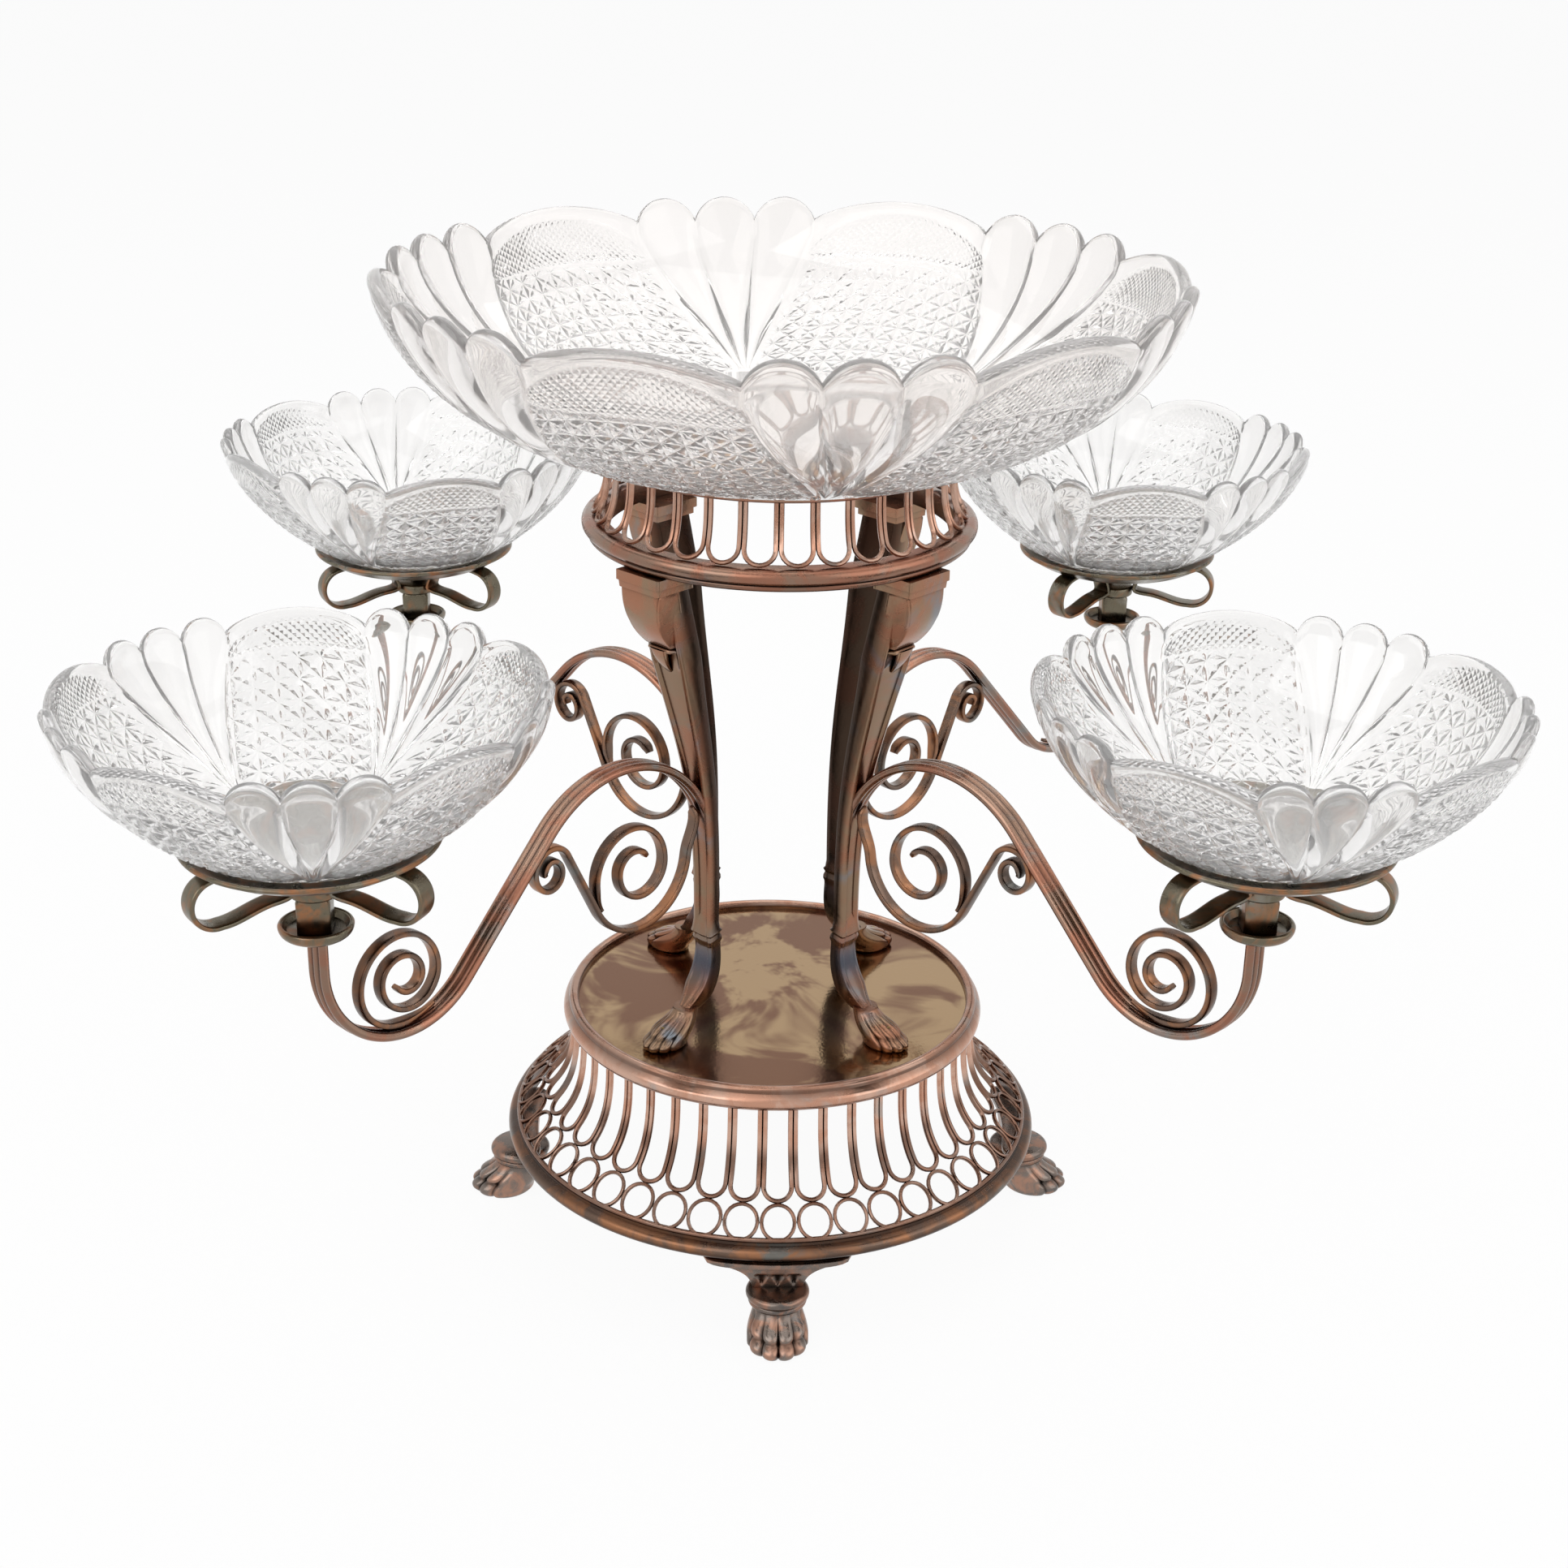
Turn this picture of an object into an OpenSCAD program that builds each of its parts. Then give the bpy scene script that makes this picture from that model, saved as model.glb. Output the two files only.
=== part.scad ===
// Four-branch table epergne: pierced base on paw feet, sabre legs, scrolled branches, cut-glass bowls.
// Millimetres, +Z up. The origin is on the table under the middle of the base, and the front faces -Y.

/* [Base] */
// Height of the base ring's underside above the table
foot_h = 28; // [25:0.5:40]
// How far the toes stand out past the base ring
toe_out = 14.5; // [10:0.5:24]
// Width of a foot's paw
foot_w = 20; // [16:0.5:26]
// Width of a foot's leaf bracket where it meets the base ring
bracket_w = 51; // [40:1:60]
// Depth of a foot's leaf bracket, front to back
bracket_d = 8.5; // [6:0.5:11]
// Outside radius of the base ring
base_ring_r = 94.5; // [88:0.5:104]
// Height of the base ring
base_ring_h = 7; // [5:0.25:10]
// Radial width of the base ring
base_ring_w = 5.5; // [5.5:0.25:9]
// Height of the pierced base gallery
base_gallery_h = 38.5; // [34:0.5:50]
// Height of the row of rings at the foot of the base gallery
ring_row_h = 9; // [9:0.5:12]
// How far the base gallery has drawn in at the top of its row of rings
belly_in = 12.5; // [12:0.5:15]
// Number of slots round the base gallery
base_slots = 44; // [42:1:52]
// Wall of the pierced galleries
gallery_t = 2; // [1.4:0.1:3]
// Width of a gallery bar
bar_w = 3.4; // [2.6:0.1:4]
// Width of the wire round one ring of the base gallery
ring_wire = 1.4; // [1.1:0.1:1.8]
// Outside radius of the platform's rim
platform_r = 74; // [68:0.5:80]
// Thickness of the platform's floor
platform_t = 2; // [1.5:0.1:3.5]
// Radius of the platform's rim moulding
rim_bead = 3; // [2:0.1:4]

/* [Column] */
// Height of the legs, from the platform to the top ring
leg_h = 170.5; // [160:0.5:196]
// Radius of the leg's middle line at its head
leg_top_r = 55.5; // [52:0.5:60]
// Radius of the leg's middle line at its waist
leg_waist_r = 33.3; // [28:0.5:38]
// Width of a leg at its head
leg_head_w = 15; // [12:0.5:16]
// Depth of a leg at its head, front to back
leg_head_d = 9; // [7:0.25:10]
// Width of a leg at its ankle
leg_ankle_w = 8; // [6.5:0.25:10]
// Depth of a leg at its ankle, front to back
leg_ankle_d = 5; // [4:0.2:6]
// Depth of the sunk panel on the front of a leg
panel_depth = 1; // [0.6:0.1:1.6]
// Width of the raised edges beside the sunk panel
panel_edge = 1.6; // [1:0.1:2.4]
// Height of the ankle band above the platform
ankle_h = 38; // [34:0.5:46]
// Radius of the paw at the foot of a leg
paw_r = 53; // [48:0.5:57]
// Width of the paw at the foot of a leg
paw_w = 13; // [11:0.5:16]
// Width of a leg's capital
capital_w = 17; // [14:0.5:22]
// Height of a leg's capital
capital_h = 28; // [22:0.5:36]
// How far a capital stands out from the leg's middle line
capital_out = 9.5; // [7:0.5:14]
// How far the top ring stands out past the legs' middle line at their heads
top_ring_out = 9.5; // [7.5:0.5:12]
// Height of the top ring
top_ring_h = 7; // [5:0.25:10]
// Radial width of the top ring
top_ring_w = 8; // [7:0.5:12]
// Height of the pierced top gallery
top_gallery_h = 19.7; // [14:0.1:24]
// Number of slots round the top gallery
top_slots = 32; // [24:1:38]
// How far the middle of the centre bowl's seat lies in from the edge of the top ring
seat_in = 9; // [7:0.5:12]
// Height of the ring that seats the centre bowl
seat_h = 2; // [1.5:0.1:4]
// Radius of the fixing screws
screw_r = 1.6; // [1.2:0.1:2]
// Height of a screw's head
screw_head_h = 1.8; // [1.2:0.1:3]

/* [Branches] */
// Radius from the middle of the stand to the sockets
socket_r = 192.5; // [180:0.5:210]
// Bend radius of an arm's arch
arch_bend = 41.5; // [36:0.5:46]
// Height of the arch's bend centre above the platform
arch_rise = 66.5; // [60:0.5:76]
// Bend radius of an arm's trough
trough_bend = 30.5; // [27:0.5:36]
// Height of the trough's bend centre above the platform
trough_rise = 79.5; // [72:0.5:86]
// Length of the straight riser under a socket
riser_h = 12; // [8:0.5:20]
// Radius of an arm's middle reed
mid_reed = 1.75; // [1.4:0.05:2.2]
// Radius of an arm's side reeds
side_reed = 1.55; // [1.2:0.05:1.9]
// Spacing of an arm's reeds
reed_pitch = 2.5; // [2:0.1:2.9]
// Width of the scroll straps
strap_w = 4.2; // [3:0.2:7]
// Thickness of the scroll straps
strap_t = 2; // [1.6:0.1:2.6]
// Bend radius of the loop under the arch
loop_bend = 21.5; // [19:0.5:23]
// Bend radius of the curl that meets the arm
curl_bend = 7.2; // [6:0.2:9]
// Distance of that curl down the arm from the end of the arch
curl_along = 8; // [4:0.5:12]
// Bend radius of the scroll's outer turn in the trough
trough_turn = 14.6; // [12.5:0.1:16]

/* [Carriers] */
// Radius of a socket's flange
socket_flange_r = 11; // [9:0.25:14]
// Height of a socket's flange
socket_flange_t = 4; // [3:0.1:6]
// Depth of the cup sunk in a socket's flange
socket_cup = 2.2; // [1:0.1:2.5]
// Width of a socket's square block
socket_block = 10; // [9:0.25:14]
// Height of a socket's square block
socket_block_h = 8.5; // [7:0.5:14]
// Radius of a carrier's peg
peg_r = 3.5; // [2.5:0.1:4]
// Radial clearance of a peg in its socket
peg_clear = 0.05; // [0.02:0.01:0.1]
// Radius of a carrier's hub
hub_r = 7.2; // [6:0.2:8.4]
// Height of a carrier's hub
hub_h = 4; // [3:0.25:7]
// Height of a carrier's dish above its hub
dish_lift = 9; // [7:0.5:13]
// Radius of a dish's rim
dish_r = 36.8; // [34:0.2:42]
// Radius of a dish's floor
dish_floor_r = 27; // [25:0.5:29]
// Height of a dish
dish_h = 6; // [4:0.25:9]
// Wall of a dish
dish_t = 1.5; // [1:0.1:2.5]
// Width of a carrier's straps
carrier_strap_w = 7; // [5:0.5:10]
// Thickness of a carrier's straps
carrier_strap_t = 1.6; // [1.2:0.1:2.4]
// Radius to the outside of a carrier's loops
carrier_reach = 38.5; // [36:0.5:44]
// Turn of each carrier from its arm: front left, front right, back right, back left
carrier_turns = [109, 20, 60, 73]; // [0:1:120]

/* [Glass] */
// Radius of the centre bowl's rim
centre_bowl_r = 130; // [120:0.5:145]
// Height of the centre bowl
centre_bowl_h = 58.3; // [50:0.1:75]
// Radius of the centre bowl's flat base
centre_base_r = 60; // [57:0.5:72]
// Wall of the centre bowl
centre_wall = 5; // [3.5:0.25:7]
// Number of cut fans round the centre bowl
centre_fans = 6; // [4:1:8]
// Depth of the notches in the centre bowl's rim
centre_notch = 8; // [4:0.5:11]
// Turn of the centre bowl's first fan
centre_turn = -82; // [-180:1:180]
// Radius of a small bowl's rim
small_bowl_r = 70; // [62:0.5:78]
// Height of a small bowl
small_bowl_h = 48.5; // [40:0.5:60]
// Radius of a small bowl's flat base
small_base_r = 22; // [18:0.5:24]
// Wall of a small bowl
small_wall = 4; // [3:0.25:5.5]
// Number of cut fans round a small bowl
small_fans = 5; // [4:1:8]
// Depth of the notches in a small bowl's rim
small_notch = 6; // [3:0.5:7]
// Turn of each small bowl's first fan from its arm, in the same order as the carriers
small_turns = [55, 28, 44, 44]; // [0:1:72]
// Gap under a bowl that stands on metal
bowl_gap = 0.2; // [0.1:0.05:0.4]

/* [Hidden] */
$fn = 48;
// Gap left at soldered seams
seam = 0.05;
// Reach of cutting shapes past what they cut
over = 1;
// Steps in degrees along round straps
arc_step = 10;

// Corners of the stand and the azimuth of each, in the order of carrier_turns
CORNERS = [["front_left", 225], ["front_right", 315], ["back_right", 45], ["back_left", 135]];
// Sides of the base and the azimuth of each foot
SIDES = [["front", 270], ["right", 0], ["back", 90], ["left", 180]];
CORNER_PIECES = ["leg", "capital", "arm", "trough_scroll", "leg_scroll", "inner_scroll", "socket",
    "carrier_hub", "carrier_straps", "carrier_dish", "bowl"];

// Heights of the stack, from the table up
base_ring_top = foot_h + base_ring_h;
platform_z = base_ring_top + base_gallery_h;
floor_z = platform_z + 2 * rim_bead;
top_ring_z = floor_z + leg_h;
top_gallery_z = top_ring_z + top_ring_h;
seat_z = top_gallery_z + top_gallery_h;
centre_z = seat_z + seat_h + bowl_gap;

// Radii that follow from their neighbours
foot_reach = base_ring_r + toe_out;
top_ring_r = leg_top_r + top_ring_out;
seat_r = top_ring_r - seat_in;

// Colours of the finishes
COPPER = [0.62, 0.42, 0.34];
BROWN = [0.42, 0.33, 0.28];
PATINA = [0.55, 0.45, 0.36];
BRONZE = [0.38, 0.31, 0.25];
GLASS = [0.88, 0.88, 0.88, 0.45];

// Points on an arc about c of radius r, from angle a to angle b
function arc(c, r, a, b) =
    let (n = max(2, round(abs(b - a) / arc_step)))
    [for (i = [0 : n]) let (q = a + (b - a) * i / n) c + r * [cos(q), sin(q)]];

// Points on the cubic curve with control points p, in n steps
function cubic(p, n) =
    [for (i = [0 : n]) let (t = i / n, s = 1 - t)
        s * s * s * p[0] + 3 * s * s * t * p[1] + 3 * s * t * t * p[2] + t * t * t * p[3]];

// A list without its first item, for joining paths end to end
function tail(p) = [for (i = [1 : len(p) - 1]) p[i]];

// A list from its end to its start
function back(p) = [for (i = [len(p) - 1 : -1 : 0]) p[i]];

// Path p moved sideways to its left by d, one distance or a list of them
function beside(p, d) =
    [for (i = [0 : len(p) - 1])
        let (step = p[min(i + 1, len(p) - 1)] - p[max(i - 1, 0)])
        p[i] + (is_list(d) ? d[i] : d) * [-step[1], step[0]] / norm(step)];

// Angle on a circle of radius ra at a where its crossing tangent to a circle of radius rb at b starts
function crossing(a, ra, b, rb, side) =
    let (d = b - a) atan2(d[1], d[0]) + side * acos((ra + rb) / norm(d));

// Flat outline of the strip beside path p, from offset a to offset b
module strip(p, a, b) polygon(concat(beside(p, a), back(beside(p, b))));

// Stands a flat outline of radius and height up in the plane of a branch, w thick
module upright(w) rotate([90, 0, 0]) linear_extrude(w, center = true) children();

// Stands a flat outline of width and height up across a radius, from radius r0 to radius r1
module across(r0, r1) translate([r0, 0, 0]) rotate([90, 0, 90]) linear_extrude(r1 - r0) children();

// Four copies a quarter turn apart, the first at azimuth start
module four(start) for (k = [0 : 3]) rotate(start + 90 * k) children();

// Flat-topped ring with a half-round outside
module moulding(r, z, h, w) rotate_extrude($fn = 120) {
    translate([r - w, z]) square([w - h / 2, h]);
    translate([r - h / 2, z + h / 2]) circle(h / 2);
}

// Screw with its head at the origin and its shank along -Z
module screw(length) {
    cylinder(r = 1.7 * screw_r, h = screw_head_h);
    translate([0, 0, -length]) cylinder(r = screw_r, h = length);
}

// Base

module base_ring() color(BROWN) moulding(base_ring_r, foot_h, base_ring_h, base_ring_w);

// Outside of the base gallery, as radius and height: a sloping row of rings, then a hollow curve up
gallery_foot_r = base_ring_r - 2.5;
gallery_top_r = platform_r - rim_bead;
belly_r = base_ring_r - belly_in;
belly_z = base_ring_top + ring_row_h;
belly = [belly_r, belly_z];
gallery_line = concat([[gallery_foot_r, base_ring_top]],
    cubic([belly, belly + [-6.5, 5.7], [gallery_top_r, platform_z - 18], [gallery_top_r, platform_z]], 5));
base_pitch = 360 / base_slots;
row_slope = atan2(gallery_foot_r - belly_r, ring_row_h);
row_r = (gallery_foot_r + belly_r) / 2;
ring_hole_r = PI * row_r / base_slots - ring_wire;
ring_stretch = 0.8;

// Round-ended slot, w0 wide at the foot and w1 wide at the head, from height z0 to height z1
module slot(w0, w1, z0, z1) {
    translate([0, z0 + w0 / 2]) circle(w0 / 2);
    polygon([[-w0 / 2, z0 + w0 / 2], [w0 / 2, z0 + w0 / 2], [w1 / 2, z1], [-w1 / 2, z1]]);
}

// Clear width of a gallery slot at radius r with n slots round
function slot_w(r, n) = 2 * PI * r / n - bar_w;

module base_gallery() color(COPPER) difference() {
    rotate_extrude($fn = 120)
        polygon(concat(gallery_line, back([for (q = gallery_line) q - [gallery_t, 0]])));
    for (i = [0 : base_slots - 1]) rotate(270 + i * base_pitch) {
        across(gallery_top_r - 2 * gallery_t - over, belly_r + over)
            slot(slot_w(belly_r, base_slots), slot_w(gallery_top_r, base_slots), belly_z + 0.8,
                platform_z - 0.8);
        row_cut() {
            for (k = [-1, 1]) translate([k * ring_stretch, 0]) circle(ring_hole_r, $fn = 32);
            square([2 * ring_stretch, 2 * ring_hole_r], center = true);
        }
        rotate(base_pitch / 2) row_cut() ring_gaps(ring_hole_r + ring_wire);
    }
}

// Cuts a flat outline square through the row of rings; the outline's x runs down the wall
module row_cut() translate([row_r, 0, base_ring_top + ring_row_h / 2]) rotate([0, 90 - row_slope, 0])
    linear_extrude(6 * gallery_t, center = true) children();

// Three-cornered gap under and diamond gap over the place where two rings of pitch 2k meet
module ring_gaps(k) {
    polygon([[0.98 * k, -0.48 * k], [0.98 * k, 0.48 * k], [0.5 * k, 0]]);
    polygon([[-0.5 * k, 0], [-0.96 * k, -0.38 * k], [-1.5 * k, 0], [-0.96 * k, 0.38 * k]]);
}

module platform() color(PATINA) difference() {
    rotate_extrude($fn = 120) {
        translate([0, floor_z - platform_t]) square([platform_r - rim_bead, platform_t]);
        translate([gallery_top_r - gallery_t, platform_z]) square([gallery_t, 2 * rim_bead - platform_t / 2]);
        translate([platform_r - rim_bead, platform_z + rim_bead]) circle(rim_bead);
        translate([platform_r - 1.2 * rim_bead, floor_z + 0.25 * rim_bead]) circle(0.6 * rim_bead);
    }
    four(45) translate([paw_r, 0, floor_z - platform_t - over])
        cylinder(r = screw_r + seam, h = platform_t + 2 * over);
}

// Paw foot

collar_h = 5;
collar_z = 13;
bracket_z = collar_z + collar_h;
collar_r = foot_w / 2;
foot_ball = 0.49 * foot_w;
foot_mid_r = foot_reach - foot_ball - 2;
ankle_line_r = base_ring_r - 3.5;
bracket_r = base_ring_r - 2.5 - bracket_d;
toe_r = foot_w / 8 + 0.6;

// Spheres set side by side along a toe line at radius r, n of them across width w
module toes(n, w, r, size) for (i = [0 : n - 1]) {
    off = i - (n - 1) / 2;
    translate([r - 1.2 * abs(off), off * (w - 2 * size) / (n - 1), 0.9 * size]) sphere(size);
}

module foot() color(BRONZE) {
    // Leaf bracket that hugs the underside of the base ring
    intersection() {
        rotate_extrude($fn = 120) {
            translate([bracket_r, bracket_z - over]) square([bracket_d, foot_h - bracket_z + over]);
            translate([bracket_r, foot_h - lip_h]) square([bracket_d + 1.5, lip_h]);
        }
        across(bracket_r - 5, base_ring_r + 5) bracket_outline();
    }
    translate([ankle_line_r, 0, collar_z]) cylinder(r = collar_r, h = collar_h);
    translate([ankle_line_r, 0, foot_ball / 2]) cylinder(r = 0.8 * collar_r, h = collar_z);
    intersection() {
        union() {
            translate([foot_mid_r, 0, 0.62 * foot_ball]) sphere(foot_ball);
            toes(4, foot_w, foot_reach - toe_r, toe_r);
        }
        translate([0, -foot_w, 0]) cube([2 * foot_reach, 2 * foot_w, foot_h]);
    }
}

// Half of a bracket's edge sweeps out from the collar to the base ring
lip_h = 2.4;
bracket_edge = concat(cubic([[0.85 * collar_r, bracket_z], [0.9 * collar_r, foot_h - lip_h - 3.5],
    [0.23 * bracket_w, foot_h - lip_h - 1], [0.31 * bracket_w, foot_h - lip_h]], 8),
    [[0.47 * bracket_w, foot_h - lip_h]]);
module bracket_outline() polygon(concat(
    [[-0.85 * collar_r, bracket_z - over], [0.85 * collar_r, bracket_z - over]], bracket_edge,
    [[bracket_w / 2, foot_h], [-bracket_w / 2, foot_h]],
    back([for (q = bracket_edge) [-q[0], q[1]]])));

// Column

ankle = [leg_waist_r + 0.3, floor_z + ankle_h];
leg_line = concat(
    cubic([[leg_top_r + 1.3, top_ring_z + 5], [leg_top_r, top_ring_z], [leg_top_r - 5.5, top_ring_z - 21],
        [leg_top_r - 8.1, top_ring_z - 32]], 4),
    tail(cubic([[leg_top_r - 8.1, top_ring_z - 32], [leg_top_r - 17, top_ring_z - 70],
        [leg_waist_r - 0.8, ankle[1] + 50], ankle], 12)),
    tail(cubic([ankle, ankle - [2.5, 13], [leg_waist_r - 0.5, floor_z + 15], [paw_r, floor_z + 7]], 8)));

// Widths and depths down the leg, which draws in from its head to its ankle
leg_fade = [for (i = [0 : len(leg_line) - 1]) pow(1 - min(max((i - 4) / 12, 0), 1), 2)];
leg_widths = [for (k = leg_fade) leg_ankle_w + (leg_head_w - leg_ankle_w) * k];
leg_depths = [for (k = leg_fade) leg_ankle_d + (leg_head_d - leg_ankle_d) * k];
panel_line = [for (i = [4 : 15]) leg_line[i]];
panel_floor = [for (i = [4 : 15]) leg_depths[i] / 2 - panel_depth];

// Radius of the leg's middle line at height z
function leg_r(z) = lookup(z, [for (q = leg_line) [q[1], q[0]]]);

// Front view of a leg, drawn in by edge at each side
module leg_front(edge) {
    side = [for (i = [0 : len(leg_line) - 1]) [leg_widths[i] / 2 - edge, leg_line[i][1]]];
    across(0, 2 * leg_top_r) polygon(concat(side, back([for (q = side) [-q[0], q[1]]])));
}

module leg_shaft() difference() {
    intersection() {
        upright(2 * leg_head_w) strip(leg_line, -leg_depths / 2, leg_depths / 2);
        leg_front(0);
    }
    translate([0, -leg_head_w, top_ring_z]) cube([2 * leg_top_r, 2 * leg_head_w, 20]);
}

module leg_body() difference() {
    leg_shaft();
    intersection() {
        upright(2 * leg_head_w) strip(panel_line, panel_floor, leg_head_d);
        leg_front(panel_edge);
    }
}

leg_screw_l = 7;
band_h = 5;
band_proud = 0.6;
instep = 0.42 * paw_w;
leg_toe = paw_w / 8 + 0.8;
module leg() color(COPPER) difference() {
    union() {
        leg_body();
        translate([ankle[0], 0, ankle[1] - band_h / 2])
            cube([leg_ankle_d + 2 * band_proud, leg_ankle_w + 2 * band_proud, band_h], center = true);
        intersection() {
            translate([0, 0, floor_z]) union() {
                translate([paw_r, 0, 0.8 * instep]) sphere(instep);
                toes(4, paw_w, paw_r + instep, leg_toe);
            }
            translate([0, -paw_w, floor_z]) cube([2 * platform_r, 2 * paw_w, leg_h]);
        }
    }
    translate([paw_r, 0, floor_z - over]) cylinder(r = screw_r + seam, h = leg_screw_l + 2 * over);
}

module leg_screws() color(BRONZE) four(45)
    translate([paw_r, 0, floor_z - platform_t]) rotate([180, 0, 0]) screw(platform_t + leg_screw_l);

// Console block that wraps the head of a leg, with two steps under the ring
abacus_h = 3;
capital_z = top_ring_z - capital_h;
step_z = top_ring_z - 2 * abacus_h;
capital_foot = leg_r(capital_z) + leg_head_d / 2 + 2.8;
capital_head = leg_top_r + capital_out;
capital_front = cubic([[capital_foot, capital_z + 2.5], [capital_foot + 5, capital_z + 7],
    [capital_head + 1, top_ring_z - 15], [capital_head - 0.5, step_z]], 8);
module capital() color(COPPER) difference() {
    union() {
        upright(capital_w) polygon(concat([[leg_r(capital_z), capital_z], [capital_foot, capital_z]],
            capital_front, [[capital_head - 0.5, step_z + over / 2], [leg_top_r, step_z + over / 2]]));
        for (k = [0, 1]) let (w = capital_w + 2 - 2 * k)
            translate([leg_top_r - leg_head_d / 2 - 2 + k, -w / 2, top_ring_z - (k + 1) * abacus_h])
                cube([capital_out + leg_head_d / 2 + 3 - 2 * k, w, abacus_h + k * over / 2]);
    }
    leg_shaft();
}

module top_ring() color(COPPER) moulding(top_ring_r, top_ring_z, top_ring_h, top_ring_w);

// Outside of the top gallery, as radius and height: a hollow curve up to the seat
top_foot_r = top_ring_r - 2.5;
top_head_r = seat_r + 1;
top_pitch = 360 / top_slots;
top_half = PI * top_foot_r / top_slots;
top_line = cubic([[top_foot_r, top_gallery_z], [top_foot_r - 3, top_gallery_z + 3.5],
    [top_head_r, top_gallery_z + 0.36 * top_gallery_h], [top_head_r, seat_z]], 4);
top_turn = 270 + 0.3 * top_pitch;
module top_gallery() color(COPPER) difference() {
    rotate_extrude($fn = 120)
        polygon(concat(top_line, back([for (q = top_line) q - [gallery_t, 0]])));
    for (i = [0 : top_slots - 1]) rotate(top_turn + i * top_pitch)
        across(top_head_r - gallery_t - over, top_foot_r + over)
            slot(slot_w(top_foot_r, top_slots), slot_w(top_head_r, top_slots), top_gallery_z + 1.4,
                seat_z - 0.8);
    for (i = [0 : top_slots - 1]) rotate(top_turn + (i + 0.5) * top_pitch)
        across(top_foot_r - 2 * gallery_t - over, top_foot_r + over)
            polygon([[-0.37 * top_half, top_gallery_z + 0.8], [0.37 * top_half, top_gallery_z + 0.8],
                [0, top_gallery_z + 0.62 * top_half]]);
}

seat_w = 5;
module bowl_seat() color(COPPER) moulding(seat_r + seat_w / 2, seat_z, seat_h, seat_w);

// Branches, drawn in the plane of radius and height and stood up at each corner

arch_c = [leg_waist_r + arch_bend, floor_z + arch_rise];
trough_c = [socket_r - trough_bend, floor_z + trough_rise];
arch_start = 168;
arch_end = crossing(arch_c, arch_bend, trough_c, trough_bend, 1);
arm_t = 2 * mid_reed;
riser_z = trough_c[1] + riser_h;
// Start, direction and length of the straight stretch between the arch and the trough
cross_start = arch_c + arch_bend * [cos(arch_end), sin(arch_end)];
cross_way = [sin(arch_end), -cos(arch_end)];
cross_l = norm(trough_c - trough_bend * [cos(arch_end), sin(arch_end)] - cross_start);

// Section of an arm: three round reeds on a flat web, drawn in by step all round
reed_step = 0.15;
module reeds(step) {
    circle(mid_reed - step);
    for (k = [-1, 1]) translate([0, k * reed_pitch]) circle(side_reed - step);
    square([side_reed, 2 * reed_pitch], center = true);
}

// Arm bent about c at radius r, from angle a to angle b
module bend(c, r, a, b) translate(c) rotate(a)
    rotate_extrude(angle = b - a, $fn = 96) translate([r, 0]) reeds(0);

// The straight stretches are drawn in a little and run into the bends
module arm() color(COPPER) difference() {
    rotate([90, 0, 0]) {
        bend(arch_c, arch_bend, arch_end, arch_start);
        translate(cross_start - over / 2 * cross_way) rotate(arch_end - 90) rotate([90, 0, 90])
            linear_extrude(cross_l + over) reeds(reed_step);
        bend(trough_c, trough_bend, arch_end + 180, 360);
        translate([socket_r, trough_c[1] - over / 2]) rotate([-90, 0, 0])
            linear_extrude(riser_h + over / 2) reeds(reed_step);
    }
    upright(2 * leg_head_w) strip(leg_line, -3 * leg_head_d, leg_depths / 2);
}

// Outer turn of the trough scroll lies along the arm, then four ever smaller half turns
rest_r = trough_bend - arm_t / 2 - strap_t / 2 - seam;
lift_off = -78;
turn_1 = trough_c + (rest_r - trough_turn) * [cos(lift_off), sin(lift_off)];
turn_2 = turn_1 - [0.27 * trough_turn, 0];
turn_3 = turn_2 + [0.21 * trough_turn, 0];
turn_4 = turn_3 - [0.18 * trough_turn, 0];
trough_scroll_line = concat(
    arc(trough_c, rest_r, lift_off - 34, lift_off),
    tail(arc(turn_1, trough_turn, lift_off, 180)),
    tail(arc(turn_2, 0.73 * trough_turn, 180, 360)),
    tail(arc(turn_3, 0.52 * trough_turn, 0, 180)),
    tail(arc(turn_4, 0.34 * trough_turn, 180, 330)));
module trough_scroll() color(BROWN) upright(strap_w) strip(trough_scroll_line, -strap_t / 2, strap_t / 2);

// Loop that hangs from the arch, swings under and up, and reverses into a curl against the arm
hang = 152;
hang_r = arch_bend - arm_t / 2 - strap_t / 2 - seam;
hang_top = arch_c + hang_r * [cos(hang), sin(hang)];
loop_c = arch_c + [loop_bend - arch_bend + 10.2, 4.3];
curl_c = cross_start + curl_along * cross_way
    - (curl_bend + strap_t / 2 + arm_t / 2 + seam) * [cos(arch_end), sin(arch_end)];
loop_out = crossing(loop_c, loop_bend, curl_c, curl_bend, -1);
curl_turn = loop_out - 30;
curl_2 = curl_c + 0.3 * curl_bend * [cos(curl_turn), sin(curl_turn)];
curl_3 = curl_2 - 0.28 * curl_bend * [cos(curl_turn), sin(curl_turn)];
leg_scroll_line = concat(
    [hang_top],
    arc(loop_c, loop_bend, 187, 360 + loop_out),
    arc(curl_c, curl_bend, loop_out + 180, curl_turn),
    tail(arc(curl_2, 0.7 * curl_bend, curl_turn, curl_turn - 180)),
    tail(arc(curl_3, 0.42 * curl_bend, curl_turn - 180, curl_turn - 330)));
module leg_scroll() color(BROWN) upright(strap_w) strip(leg_scroll_line, -strap_t / 2, strap_t / 2);

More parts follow.
